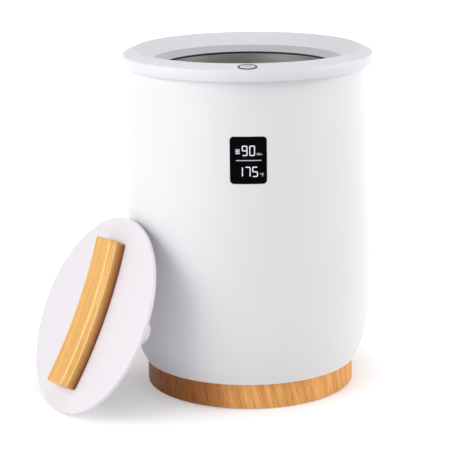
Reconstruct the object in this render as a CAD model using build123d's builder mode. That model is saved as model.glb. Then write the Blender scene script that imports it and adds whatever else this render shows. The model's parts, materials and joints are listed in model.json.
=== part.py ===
from build123d import *
from math import atan2, cos, radians, sin, sqrt
import os

# Towel warmer bucket with a wood-look foot and a lid that leans on its wall, in millimetres.
# The origin is the centre of the bucket's foot on the floor, +Z is up and the display faces -Y.

# ---------------------------------------------------------------- bucket, outside
foot_gap = 1.2                  # floor to the underside of the base ring
base_ring_height = 30.4
base_ring_setback = 3.2         # body's foot in to the base ring's outside
base_ring_wall = 8.0
body_height = 362.4             # top of the base ring to the collar's lower edge
body_top_space = 19.0           # felt out to the body wall's inside, at the top
body_belly_swell = 7.9          # how much further out the wall stands at its belly
body_turn_swell = 7.5           # and where it turns in
body_foot_space = 9.8           # felt out to the body wall's inside, at the foot
body_belly_drop = 189.0         # collar's lower edge down to the belly
body_turn_rise = 63.4           # top of the base ring up to where the wall turns in
body_bulge = 0.35               # how far the upper wall stands out from a straight taper
shell_wall = 2.4
shell_flange_thickness = 3.0    # the inward foot flange of the shell
shell_flange_margin = 4.0       # screw bosses to the inner edge of the foot flange
shell_top_flange = 2.0
shell_top_flange_recess = 1.6   # collar's lower edge up to the underside of the top flange

# ---------------------------------------------------------------- rim collar
collar_reach = 10.6             # body's top edge out to the collar's widest line
collar_lower_reach = 8.9        # and to its lower edge
collar_corner_reach = 9.8       # and to its outer corner
collar_widest_rise = 7.0        # lower edge up to the widest line
collar_band = 13.4              # lower edge up to the outer corner
collar_crest_rise = 6.1         # outer corner up to the crest
rim_width = 13.4                # outer corner in to the crest
funnel_fall = 13.9              # crest down to the step line
funnel_step_width = 9.5         # lip out to the step line
lip_fall = 6.8                  # step line down to the lip
lip_overhang = 0.5              # how far the lip stands in from the tub's wall
lip_thickness = 2.9
lip_ledge_width = 4.4
collar_wall = 2.6
collar_top_drop = 3.12          # thickness of the collar's sloped walls, straight down
collar_skirt_wall = 1.1
collar_rib_gap = 12.4           # tub's inside wall out to the rib that carries the tub
collar_rib_width = 4.5
crest_fillet = 1.6
collar_corner_fillet = 1.3
collar_lower_fillet = 0.6
lip_fillet = 1.0
collar_fit = 0.3                # collar skirt to shell flange
collar_boss_inset = 5.4         # outer corner in to the circle of collar screws
collar_boss_radius = 3.6
collar_screw_count = 6

# ---------------------------------------------------------------- tub, heating and insulation
tub_radius = 104.6              # inside radius
tub_wall = 1.0
tub_flange_margin = 2.5         # rib out to the edge of the tub's flange
tub_corner = 10.0
tub_screw_count = 4
gasket_thickness = 1.0
gasket_width = 3.5
gasket_setback = 0.2            # tub's inside wall to the gasket
heater_gap = 0.05
heater_film_thickness = 0.7
heater_seam = 9.0
heater_top_margin = 58.9        # tub flange down to the film's upper edge
heater_bottom_margin = 31.0     # tub's inside floor up to the film's lower edge
blanket_gap = 0.25
blanket_thickness = 11.4
blanket_top_margin = 4.9
blanket_bottom_margin = 16.0
sensor_radius = 2.5
sensor_length = 22.0
sensor_height = 205.0
sensor_bearing = 130.0          # degrees from +X
sensor_fit = 0.3
sensor_edge = 1.0
floor_heater_radius = 80.0
floor_heater_thickness = 1.0
floor_gap = 0.2
floor_pad_radius = 100.0
floor_pad_thickness = 13.6
thermostat_radius = 8.5
thermostat_height = 9.0
thermostat_offset = 30.0        # centre of the thermostat from the bucket's axis
thermostat_edge = 0.8
blade_spread = 5.0
blade_width = 4.8
blade_thickness = 0.8
blade_length = 3.0
fuse_radius = 2.2
fuse_length = 14.0
fuse_offset = 34.0
fuse_edge = 0.55
pocket_clearance = 2.5
shield_thickness = 1.0
shield_overlap = 4.0            # how far the tray reaches past the circle of screw bosses
shield_hole_radius = 14.0

# ---------------------------------------------------------------- foot
plate_gap = 3.0                 # floor to the underside of the base plate
plate_thickness = 3.0
plate_lip = 2.8                 # how far the plate reaches under the ring
plate_fit = 0.4
base_screw_count = 4
base_post_radius = 6.0
base_post_gap = 1.0             # screw posts to the base ring's inside wall
base_counterbore_radius = 4.6
base_counterbore_depth = 9.0
shell_boss_radius = 5.0
shell_boss_height = 11.4
foot_ring_gap = 7.4             # counterbores to the foot ring
foot_ring_width = 12.0
foot_recess = 0.8
foot_fit = 0.2
foot_edge = 1.0
vent_count = 12
vent_gap = 7.0                  # foot ring to the ends of the vents
vent_length = 22.0
vent_width = 3.2
ring_edge = 0.8

# ---------------------------------------------------------------- mains cord gland
gland_height = 16.5
gland_body_radius = 7.8
gland_flange_radius = 10.5
gland_flange_thickness = 2.4
gland_bore_radius = 3.6
gland_inner_reach = 6.0         # how far the gland stands in from the ring's inside wall
gland_fit = 0.2
gland_edge = 1.0
gland_nut_radius = 10.8
gland_nut_thickness = 4.0
gland_nut_gap = 0.6             # the flat nut bears on the round inside wall at its corners

# ---------------------------------------------------------------- power board in the foot
board_thickness = 1.6
power_board_length = 92.0
power_board_width = 62.0
power_board_lift = 12.0         # above the base plate
board_hole_inset = 6.0
standoff_radius = 3.6
board_screw_depth = 9.0
component_edge = 0.8
transformer_place = (-22.0, 8.0)
relay_place = (8.0, 12.0)
terminal_place = (29.0, -10.0)
terminal_hole_radius = 2.4
capacitor_place = (-8.0, -16.0)
transformer_size = (26.0, 21.0, 18.0)
relay_size = (19.0, 15.5, 15.0)
terminal_size = (22.0, 10.0, 12.0)
capacitor_radius = 5.0
capacitor_height = 14.0

# ---------------------------------------------------------------- display
display_drop = 90.0             # collar's lower edge down to the window's centre
window_width = 41.6
window_length = 53.8
window_corner = 4.2
window_fit = 0.3
window_proud = 0.25
bezel_gap = 0.1                 # inside face of the shell to the bezel
bezel_width = 46.0
bezel_length = 58.0
led_module_width = 37.0
led_module_length = 49.0
led_module_depth = 5.0
led_module_fit = 0.5
display_wire_space = 12.6       # felt out to the back of the display board
display_board_width = 46.0
display_board_length = 84.0
display_boss_spread = 34.0
display_boss_pitch = 72.0
display_boss_radius = 3.4
display_screw_depth = 6.0

# ---------------------------------------------------------------- power button on the rim
button_slope_distance = 7.6     # crest down the slope to the button's centre
trim_half_width = 11.0
trim_half_length = 5.4
trim_proud = 0.45
trim_sunk = 0.6
trim_fit = 0.15
trim_edge = 0.25
trim_band = 1.7
sleeve_wall = 0.8
sleeve_depth = 3.0
cap_clearance = 0.3
cap_proud = 0.2                 # above the trim ring
cap_depth = 4.5
cap_flange = 1.2
cap_edge = 0.4
button_travel = 1.0
switch_board_length = 42.0
switch_board_width = 8.0
switch_board_thickness = 1.2
switch_board_depth = 9.4
switch_post_radius = 2.4
switch_post_spread = 34.0
tact_size = 6.0
tact_height = 3.4
plunger_radius = 1.5
plunger_clearance = 0.3
plunger_reach = 1.3             # how far the plunger stands into the switch at rest

# ---------------------------------------------------------------- lid
lid_overlap = 7.7               # funnel's step line out to the lid's edge
lid_edge = 4.2                  # height of the lid's edge
lid_skin = 2.4
lid_skirt = 2.1
lid_top_fillet = 1.3
lid_lower_fillet = 0.5
liner_fit = 0.3
liner_cup_fit = 0.9             # lip in to the wall of the lid's cup
liner_cup_depth = 8.0
liner_wall = 1.7
lug_inset = 0.7                 # wall of the lid's cup in to the lugs
lug_radius = 13.0
lug_height = 9.6
lug_count = 4
lug_fillet = 1.5
lid_foam_gap = 0.4
foam_clearance = 1.5
lid_seal_inset = 3.1            # lid's edge in to the seal
lid_seal_width = 5.6
lid_seal_height = 2.0
seal_edge = 0.6
liner_screw_circle = 84.0
liner_screw_count = 4
liner_boss_radius = 4.0
lid_bearing = 208.2             # direction from the bucket's axis to the lid, degrees from +X
lid_facing = 210.9              # direction that the lid's face looks, degrees from +X
lid_lean = 26.0                 # how far the lid leans back, degrees
lid_spin = 4.6                  # turn of the lid about its own axis, degrees
lean_clearance = 0.4

# ---------------------------------------------------------------- lid handle
handle_length = 181.0
handle_width = 45.5
handle_height = 18.4
handle_chamfer = 5.6
handle_bow = 11.5
handle_offset = -3.2            # centre of the handle's ends from the lid's centre line
handle_end_fillet = 2.6
handle_screw_pitch = 116.0
insert_radius = 3.2
insert_depth = 10.0
insert_clearance = 0.05
insert_lift = 0.2               # lid's top to the end of an insert
washer_radius = 6.0
washer_thickness = 1.0

# ---------------------------------------------------------------- screws
screw_clearance = 0.3           # radial, in a through hole
thread_clearance = 0.05         # radial, in a boss
blind_end = 1.5                 # wall left beyond the blind end of a hole
thread_end = 1.0                # end of a screw to the bottom of its hole
screw_ring_start = 45.0         # first screw of a ring of four, degrees from +X
plastic_screw_depth = 8.0       # depth of the holes for screws in the collar
switch_screw_depth = 5.0
switch_shank = 0.8
m2_shank = 1.0
m3_shank = 1.5
m4_shank = 2.0
head_ratio = 1.9                # head radius for one of shank radius
head_height_ratio = 1.2
socket_ratio = 0.95

# ---------------------------------------------------------------- wiring
harness_radius = 1.8
harness_bend = 12.0
harness_small_bend = 4.0
wire_gap = 0.1
display_wire_x = 10.0
display_wire_end = -22.0        # where the display's wires come down on the power board
switch_wire_x = -12.0
switch_wire_drop = 7.0
switch_wire_gap = 0.6           # the tube's square end stays clear of the tilted board
harness_clearance = 4.0

# ================================================================ worked-out places
base_top = foot_gap + base_ring_height
collar_bottom = base_top + body_height
collar_corner_height = collar_bottom + collar_band
crest_height = collar_corner_height + collar_crest_rise
step_height = crest_height - funnel_fall
lip_height = step_height - lip_fall
lip_underside = lip_height - lip_thickness
tub_flange_top = lip_underside - gasket_thickness
tub_outer_radius = tub_radius + tub_wall
film_inner_radius = tub_outer_radius + heater_gap
film_outer_radius = film_inner_radius + heater_film_thickness
blanket_inner_radius = film_outer_radius + blanket_gap
blanket_outer_radius = blanket_inner_radius + blanket_thickness
body_top_radius = blanket_outer_radius + body_top_space + shell_wall
body_belly_radius = body_top_radius + body_belly_swell
body_turn_radius = body_top_radius + body_turn_swell
body_foot_radius = blanket_outer_radius + body_foot_space + shell_wall
collar_radius = body_top_radius + collar_reach
collar_lower_radius = body_top_radius + collar_lower_reach
collar_corner_radius = body_top_radius + collar_corner_reach
crest_radius = collar_corner_radius - rim_width
collar_boss_circle = collar_corner_radius - collar_boss_inset
lip_radius = tub_radius - lip_overhang
lip_ledge_radius = lip_radius + lip_ledge_width
funnel_step_radius = lip_radius + funnel_step_width
collar_rib_radius = tub_radius + collar_rib_gap
tub_flange_radius = collar_rib_radius + collar_rib_width + tub_flange_margin
shell_flange_top = base_top + shell_flange_thickness
shell_boss_top = shell_flange_top + shell_boss_height
pad_base = shell_boss_top + shield_thickness
pad_top = pad_base + floor_pad_thickness
floor_heater_base = pad_top + floor_gap
floor_heater_top = floor_heater_base + floor_heater_thickness
tub_floor = floor_heater_top + floor_gap + tub_wall
plate_top = plate_gap + plate_thickness
base_ring_radius = body_foot_radius - base_ring_setback
ring_inner_radius = base_ring_radius - base_ring_wall
plate_radius = ring_inner_radius + plate_lip
base_screw_circle = ring_inner_radius - base_post_gap - base_post_radius
shell_flange_inner_radius = base_screw_circle - shell_boss_radius - shell_flange_margin
foot_ring_radius = base_screw_circle - base_counterbore_radius - foot_ring_gap
foot_ring_inner_radius = foot_ring_radius - foot_ring_width
vent_circle = foot_ring_inner_radius - vent_gap - vent_length / 2
collar_skirt_inner = collar_lower_radius - collar_skirt_wall
collar_flange_radius = collar_skirt_inner - collar_fit
top_flange_base = collar_bottom + shell_top_flange_recess
top_flange_top = top_flange_base + shell_top_flange
window_height = collar_bottom - display_drop
bezel_depth = shell_wall + bezel_gap
display_board_back = blanket_outer_radius + display_wire_space
display_board_front = display_board_back + board_thickness
sleeve_half_width = trim_half_width - trim_band + sleeve_wall
sleeve_half_length = trim_half_length - trim_band + sleeve_wall
cap_half_width = trim_half_width - trim_band - cap_clearance
cap_half_length = trim_half_length - trim_band - cap_clearance
cap_top = trim_proud + cap_proud
tact_top_depth = switch_board_depth - tact_height
lid_radius = funnel_step_radius + lid_overlap
lid_seal_radius = lid_radius - lid_seal_inset
liner_cup_radius = lip_radius - liner_cup_fit
lug_circle = liner_cup_radius - lug_inset - lug_radius


def body_points(inset):
    """The four ends of the body wall's three arcs, from the top down, moved in by inset."""
    return (
        (body_top_radius - inset, collar_bottom),
        (body_belly_radius - inset, collar_bottom - body_belly_drop),
        (body_turn_radius - inset, base_top + body_turn_rise),
        (body_foot_radius - inset, base_top),
    )


def body_arcs(inset):
    """Draw the body wall from its top to its foot in the line builder that is open."""
    top, belly, turn, foot = body_points(inset)
    middle = ((top[0] + belly[0]) / 2 + body_bulge, (top[1] + belly[1]) / 2)
    upper = ThreePointArc(top, middle, belly)
    waist = TangentArc(belly, turn, tangent=upper % 1)
    TangentArc(turn, foot, tangent=waist % 1)
    return top, foot


with BuildLine() as body_outline:
    body_arcs(0)


def body_radius_at(height):
    """Outside radius of the body at a height above the floor."""
    for arc in body_outline.edges():
        low, high = sorted(((arc @ 0).Y, (arc @ 1).Y))
        if low <= height <= high:
            centre = arc.arc_center
            return centre.X + sqrt(arc.radius**2 - (height - centre.Y) ** 2)
    return body_top_radius


def funnel_height(radius):
    """Height of the funnel's upper face between its step line and the crest."""
    share = (radius - funnel_step_radius) / (crest_radius - funnel_step_radius)
    return step_height + share * funnel_fall


def rim_height(radius):
    """Height of the rim's sloped top face between the crest and its outer corner."""
    share = (collar_corner_radius - radius) / (collar_corner_radius - crest_radius)
    return collar_corner_height + share * collar_crest_rise


def corner(sketch, x, y):
    """The sketch corner that lies nearest to a point."""
    return sketch.vertices().sort_by_distance((x, y))[0]


def edges_on(piece, plane, height):
    """Edges of a piece that lie flat at a height above a plane."""

    def lies_flat(edge):
        heights = [plane.to_local_coords(edge @ share).Z for share in (0, 0.3, 0.7)]
        return all(abs(value - height) < 0.01 for value in heights)

    return piece.edges().filter_by(lies_flat)


def mirrored(places):
    """The same places as a plane that faces the other way sees them."""
    return [(x, -y) for x, y in places]


def screws_at(seat, places, shank_radius, shank_length):
    """Socket-head screws whose heads stand on the seat plane, one at each place."""
    head_radius = shank_radius * head_ratio
    head_height = shank_radius * head_height_ratio
    socket_depth = head_height / 2
    with BuildPart() as screws:
        with BuildSketch(seat):
            with Locations(*places):
                Circle(head_radius)
        extrude(amount=head_height)
        with BuildSketch(seat):
            with Locations(*places):
                Circle(shank_radius)
        extrude(amount=-shank_length)
        with BuildSketch(seat.offset(head_height)):
            with Locations(*places):
                RegularPolygon(shank_radius * socket_ratio, 6)
        extrude(amount=-socket_depth, mode=Mode.SUBTRACT)
    return screws


def on_circle(radius, count, start=0.0):
    """Points spread evenly on a circle, the first at the start angle in degrees."""
    step = 360.0 / count
    angles = [radians(start + step * index) for index in range(count)]
    return [(radius * cos(angle), radius * sin(angle)) for angle in angles]


# ================================================================ places of the screws
base_screw_places = on_circle(base_screw_circle, base_screw_count, screw_ring_start)
collar_screw_places = on_circle(collar_boss_circle, collar_screw_count)
tub_screw_circle = collar_rib_radius + collar_rib_width / 2
tub_screw_places = on_circle(tub_screw_circle, tub_screw_count, screw_ring_start)
board_x = power_board_length / 2 - board_hole_inset
board_y = power_board_width / 2 - board_hole_inset
board_screw_places = [(x, y) for x in (-board_x, board_x) for y in (-board_y, board_y)]
display_screw_places = [
    (x * display_boss_spread / 2, window_height + y * display_boss_pitch / 2)
    for x in (-1, 1)
    for y in (-1, 1)
]
switch_screw_places = [(-switch_post_spread / 2, 0), (switch_post_spread / 2, 0)]
lug_places = on_circle(lug_circle, lug_count)
liner_screw_places = on_circle(liner_screw_circle, liner_screw_count, screw_ring_start)

# ================================================================ planes
rim_slope = atan2(collar_crest_rise, collar_corner_radius - crest_radius)
button_radius = crest_radius + button_slope_distance * cos(rim_slope)
button_height = crest_height - button_slope_distance * sin(rim_slope)
button_plane = Plane(
    origin=(0, -button_radius, button_height),
    x_dir=(1, 0, 0),
    z_dir=(0, -sin(rim_slope), cos(rim_slope)),
)

lean, facing, bearing, spin = (radians(a) for a in (lid_lean, lid_facing, lid_bearing, lid_spin))
lid_normal = Vector(cos(lean) * cos(facing), cos(lean) * sin(facing), sin(lean))
lid_level = Vector(-sin(facing), cos(facing), 0)
lid_uphill = lid_normal.cross(lid_level)
lid_x = lid_level * cos(spin) + lid_uphill * sin(spin)
lid_y = lid_uphill * cos(spin) - lid_level * sin(spin)
lug_bottom = lid_edge + liner_cup_depth + lug_height
toward_axis = Vector(-cos(bearing), -sin(bearing), 0)
lug_side = (toward_axis - lid_normal * toward_axis.dot(lid_normal)).normalized()
lug_corner = lid_y * lug_circle + lug_side * (lug_radius - lug_fillet)
lug_reach = lug_corner - lid_normal * (lug_bottom - lug_fillet) + toward_axis * lug_fillet
edge_drop = (lid_radius - lid_lower_fillet) * cos(lean) + (lid_edge - lid_lower_fillet) * sin(lean)
lid_centre_height = edge_drop + lid_lower_fillet
contact_radius = body_radius_at(lid_centre_height + lug_reach.Z) + lean_clearance
reach_out = lug_reach.X * cos(bearing) + lug_reach.Y * sin(bearing)
reach_across = lug_reach.Y * cos(bearing) - lug_reach.X * sin(bearing)
lid_distance = sqrt(contact_radius**2 - reach_across**2) - reach_out
lid_centre = Vector(lid_distance * cos(bearing), lid_distance * sin(bearing), lid_centre_height)
lid_plane = Plane(origin=lid_centre, x_dir=lid_x, z_dir=lid_normal)
lid_section = Plane(origin=lid_centre, x_dir=lid_x, z_dir=-lid_y)
lid_axis = Axis(lid_centre, lid_normal)
liner_floor = lid_edge + liner_cup_depth
handle_screw_bow = handle_bow * (1 - (handle_screw_pitch / handle_length) ** 2)
handle_screw_x = handle_offset + handle_screw_bow
handle_screw_places = [(handle_screw_x, y * handle_screw_pitch / 2) for y in (-1, 1)]

# ================================================================ bucket casing
# outer_shell: the moulded body, with a foot flange, a top flange and bosses inside
with BuildPart() as outer_shell:
    with BuildSketch(Plane.XZ):
        with BuildLine():
            outer_top, outer_foot = body_arcs(0)
            inner_top, inner_foot = body_arcs(shell_wall)
            Line(outer_foot, inner_foot)
            Polyline(
                outer_top,
                (outer_top[0], top_flange_top),
                (inner_top[0], top_flange_top),
                inner_top,
            )
        make_face()
        with BuildLine():
            Polyline(
                (inner_top[0] + shell_wall / 2, top_flange_base),
                (collar_flange_radius, top_flange_base),
                (collar_flange_radius, top_flange_top),
                (inner_top[0] + shell_wall / 2, top_flange_top),
                close=True,
            )
        make_face()
    revolve(axis=Axis.Z)
    with BuildSketch(Plane.XY.offset(base_top)):
        Circle(body_foot_radius - shell_wall / 2)
        Circle(shell_flange_inner_radius, mode=Mode.SUBTRACT)
    extrude(amount=shell_flange_thickness)
    with BuildSketch(Plane.XY.offset(shell_flange_top)):
        with Locations(*base_screw_places):
            Circle(shell_boss_radius)
    extrude(amount=shell_boss_height)
    with BuildSketch(Plane.XY.offset(base_top)):
        with Locations(*base_screw_places):
            Circle(m3_shank + thread_clearance)
    extrude(amount=shell_boss_top - blind_end - base_top, mode=Mode.SUBTRACT)
    with BuildSketch(Plane.XY.offset(top_flange_base)):
        with Locations(*collar_screw_places):
            Circle(m2_shank + screw_clearance)
    extrude(amount=shell_top_flange, mode=Mode.SUBTRACT)
    for place_x, place_z in display_screw_places:
        boss_reach = sqrt((body_radius_at(place_z) - shell_wall / 2) ** 2 - place_x**2)
        with BuildSketch(Plane.XZ.offset(display_board_front)):
            with Locations((place_x, place_z)):
                Circle(display_boss_radius)
                Circle(m2_shank + thread_clearance, mode=Mode.SUBTRACT)
        extrude(amount=boss_reach - display_board_front)
    with BuildSketch(Plane.XZ.offset(display_board_front)):
        with Locations((0, window_height)):
            RectangleRounded(
                window_width + 2 * window_fit,
                window_length + 2 * window_fit,
                window_corner + window_fit,
            )
    extrude(amount=body_belly_radius, mode=Mode.SUBTRACT)

# rim_collar: the round top moulding with its funnel, lip, tub rib and screw bosses
with BuildPart() as rim_collar:
    ledge_end = lip_ledge_radius + collar_wall
    rib_outer_radius = collar_rib_radius + collar_rib_width
    skirt_foot = (collar_lower_radius, collar_bottom)
    skirt_widest = (collar_radius, collar_bottom + collar_widest_rise)
    skirt_top = (collar_corner_radius, collar_corner_height)
    with BuildSketch(Plane.XZ) as collar_section:
        with BuildLine():
            ThreePointArc(skirt_foot, skirt_widest, skirt_top)
            Polyline(
                skirt_top,
                (crest_radius, crest_height),
                (funnel_step_radius, step_height),
                (lip_radius, lip_height),
                (lip_radius, lip_underside),
                (lip_ledge_radius, lip_underside),
                (ledge_end, funnel_height(ledge_end) - collar_top_drop),
                (collar_rib_radius, funnel_height(collar_rib_radius) - collar_top_drop),
                (collar_rib_radius, tub_flange_top),
                (rib_outer_radius, tub_flange_top),
                (rib_outer_radius, funnel_height(rib_outer_radius) - collar_top_drop),
                (crest_radius, crest_height - collar_top_drop),
                (collar_skirt_inner, rim_height(collar_skirt_inner) - collar_top_drop),
                (collar_skirt_inner, collar_bottom),
                skirt_foot,
            )
        make_face()
        fillet(corner(collar_section, crest_radius, crest_height), crest_fillet)
        fillet(corner(collar_section, *skirt_top), collar_corner_fillet)
        fillet(corner(collar_section, *skirt_foot), collar_lower_fillet)
        fillet(corner(collar_section, lip_radius, lip_height), lip_fillet)
    revolve(axis=Axis.Z)
    with BuildSketch(Plane.XY.offset(top_flange_top)):
        with Locations(*collar_screw_places):
            Circle(collar_boss_radius)
    extrude(amount=rim_height(collar_boss_circle) - collar_top_drop / 2 - top_flange_top)
    with BuildSketch(Plane.XY.offset(top_flange_top)):
        with Locations(*collar_screw_places):
            Circle(m2_shank + thread_clearance)
    extrude(amount=plastic_screw_depth, mode=Mode.SUBTRACT)
    with BuildSketch(Plane.XY.offset(tub_flange_top)):
        with Locations(*tub_screw_places):
            Circle(m2_shank + thread_clearance)
    extrude(amount=plastic_screw_depth, mode=Mode.SUBTRACT)
    with BuildSketch(button_plane.offset(-switch_board_depth)):
        with Locations(*switch_screw_places):
            Circle(switch_post_radius)
    extrude(amount=switch_board_depth - collar_wall)
    with BuildSketch(button_plane.offset(-switch_board_depth)):
        with Locations(*switch_screw_places):
            Circle(switch_shank + thread_clearance)
    extrude(amount=switch_screw_depth, mode=Mode.SUBTRACT)
    with BuildSketch(button_plane.offset(-trim_sunk)):
        Ellipse(trim_half_width + trim_fit, trim_half_length + trim_fit)
    extrude(amount=trim_sunk + collar_wall, mode=Mode.SUBTRACT)
    with BuildSketch(button_plane.offset(-sleeve_depth - collar_wall)):
        Ellipse(sleeve_half_width + trim_fit, sleeve_half_length + trim_fit)
    extrude(amount=sleeve_depth + 2 * collar_wall, mode=Mode.SUBTRACT)

# collar_screws: the screws that come up through the shell's top flange into the collar
collar_screw_seat = Plane(origin=(0, 0, top_flange_base), x_dir=(1, 0, 0), z_dir=(0, 0, -1))
collar_screw_length = shell_top_flange + plastic_screw_depth - blind_end
collar_screws = screws_at(
    collar_screw_seat, mirrored(collar_screw_places), m2_shank, collar_screw_length
)

# ================================================================ tub and heating
# inner_tub: the pressed metal tub, hung by its flange under the lip
with BuildPart() as inner_tub:
    tub_flange_base = tub_flange_top - tub_wall
    with BuildSketch(Plane.XZ) as tub_section:
        with BuildLine():
            Polyline(
                (0, tub_floor - tub_wall),
                (tub_outer_radius, tub_floor - tub_wall),
                (tub_outer_radius, tub_flange_base),
                (tub_flange_radius, tub_flange_base),
                (tub_flange_radius, tub_flange_top),
                (tub_radius, tub_flange_top),
                (tub_radius, tub_floor),
                (0, tub_floor),
                close=True,
            )
        make_face()
        fillet(corner(tub_section, tub_outer_radius, tub_floor - tub_wall), tub_corner + tub_wall)
        fillet(corner(tub_section, tub_radius, tub_floor), tub_corner)
    revolve(axis=Axis.Z)
    with BuildSketch(Plane.XY.offset(tub_flange_base)):
        with Locations(*tub_screw_places):
            Circle(m2_shank + screw_clearance)
    extrude(amount=tub_wall, mode=Mode.SUBTRACT)

# tub_screws: up through the tub's flange into the collar's rib
tub_screw_seat = Plane(origin=(0, 0, tub_flange_base), x_dir=(1, 0, 0), z_dir=(0, 0, -1))
tub_screw_length = tub_wall + plastic_screw_depth - blind_end
tub_screws = screws_at(tub_screw_seat, mirrored(tub_screw_places), m2_shank, tub_screw_length)

# tub_gasket: the ring between the tub's flange and the lip
with BuildPart() as tub_gasket:
    with BuildSketch(Plane.XY.offset(tub_flange_top)):
        Circle(tub_radius + gasket_setback + gasket_width)
        Circle(tub_radius + gasket_setback, mode=Mode.SUBTRACT)
    extrude(amount=gasket_thickness)

# heater_film: the heating wrap, with a seam at the back
film_top = tub_flange_top - tub_wall - heater_top_margin
film_base = tub_floor + heater_bottom_margin
with BuildPart() as heater_film:
    with BuildSketch(Plane.XY.offset(film_base)):
        Circle(film_outer_radius)
        Circle(film_inner_radius, mode=Mode.SUBTRACT)
        with Locations((0, film_outer_radius)):
            Rectangle(heater_seam, film_outer_radius, mode=Mode.SUBTRACT)
    extrude(amount=film_top - film_base)

# insulation_blanket: the felt round the heater, with a pocket for the sensor
blanket_top = tub_flange_top - tub_wall - blanket_top_margin
blanket_base = tub_floor + blanket_bottom_margin
sensor_circle = film_outer_radius + sensor_radius + heater_gap
sensor_angle = radians(sensor_bearing)
sensor_place = (sensor_circle * cos(sensor_angle), sensor_circle * sin(sensor_angle))
with BuildPart() as insulation_blanket:
    with BuildSketch(Plane.XY.offset(blanket_base)):
        Circle(blanket_outer_radius)
        Circle(blanket_inner_radius, mode=Mode.SUBTRACT)
    extrude(amount=blanket_top - blanket_base)
    with BuildSketch(Plane.XY.offset(sensor_height - sensor_length / 2 - pocket_clearance)):
        with Locations(sensor_place):
            Circle(sensor_radius + sensor_fit)
    extrude(amount=sensor_length + 2 * pocket_clearance, mode=Mode.SUBTRACT)

# temperature_sensor: the bulb that lies against the heater film
with BuildPart() as temperature_sensor:
    with BuildSketch(Plane.XY.offset(sensor_height - sensor_length / 2)):
        with Locations(sensor_place):
            Circle(sensor_radius)
    extrude(amount=sensor_length)
    fillet(temperature_sensor.edges(), sensor_edge)

# bottom_heater: the heating disc under the tub's floor
with BuildPart() as bottom_heater:
    with BuildSketch(Plane.XY.offset(floor_heater_base)):
        Circle(floor_heater_radius)
    extrude(amount=floor_heater_thickness)

# thermostat: a round cutout under the heating disc, with two blades
with BuildPart() as thermostat:
    with BuildSketch(Plane.XY.offset(floor_heater_base - thermostat_height)):
        with Locations((thermostat_offset, 0)):
            Circle(thermostat_radius)
    extrude(amount=thermostat_height)
    fillet(thermostat.edges().group_by(Axis.Z)[0], thermostat_edge)
    with BuildSketch(Plane.XY.offset(floor_heater_base - thermostat_height)):
        with Locations((thermostat_offset - blade_spread, 0), (thermostat_offset + blade_spread, 0)):
            Rectangle(blade_thickness, blade_width)
    extrude(amount=-blade_length)

# thermal_fuse: a small cylinder that lies under the heating disc
fuse_plane = Plane(
    origin=(-fuse_offset, -fuse_length / 2, floor_heater_base - fuse_radius),
    x_dir=(1, 0, 0),
    z_dir=(0, 1, 0),
)
with BuildPart() as thermal_fuse:
    with BuildSketch(fuse_plane):
        Circle(fuse_radius)
    extrude(amount=fuse_length)
    fillet(thermal_fuse.edges().filter_by(GeomType.CIRCLE), fuse_edge)

# heat_shield: the metal tray under the floor insulation, on the shell's screw bosses
with BuildPart() as heat_shield:
    with BuildSketch(Plane.XY.offset(shell_boss_top)):
        Circle(base_screw_circle + shield_overlap)
        Circle(shield_hole_radius, mode=Mode.SUBTRACT)
    extrude(amount=shield_thickness)

# insulation_pad: the disc between the tray and the floor heater, with two pockets
with BuildPart() as insulation_pad:
    with BuildSketch(Plane.XY.offset(pad_base)):
        Circle(floor_pad_radius)
        with Locations((thermostat_offset, 0)):
            Circle(thermostat_radius + pocket_clearance, mode=Mode.SUBTRACT)
        with Locations((-fuse_offset, 0)):
            Rectangle(
                2 * (fuse_radius + pocket_clearance),
                fuse_length + 2 * pocket_clearance,
                mode=Mode.SUBTRACT,
            )
    extrude(amount=floor_pad_thickness)

# ================================================================ foot
# base_ring: the wood-look ring that the body stands on
with BuildPart() as base_ring:
    with BuildSketch(Plane.XZ) as ring_section:
        with BuildLine():
            Polyline(
                (base_ring_radius, foot_gap),
                (base_ring_radius, base_top),
                (ring_inner_radius, base_top),
                (ring_inner_radius, plate_top),
                (plate_radius + plate_fit, plate_top),
                (plate_radius + plate_fit, foot_gap),
                close=True,
            )
        make_face()
        fillet(corner(ring_section, base_ring_radius, foot_gap), ring_edge)
        fillet(corner(ring_section, base_ring_radius, base_top), ring_edge)
    revolve(axis=Axis.Z)
    with BuildSketch(Plane.XZ.offset(-base_ring_radius)):
        with Locations((0, gland_height)):
            Circle(gland_body_radius + gland_fit)
    extrude(amount=2 * base_ring_wall, mode=Mode.SUBTRACT)

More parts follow.
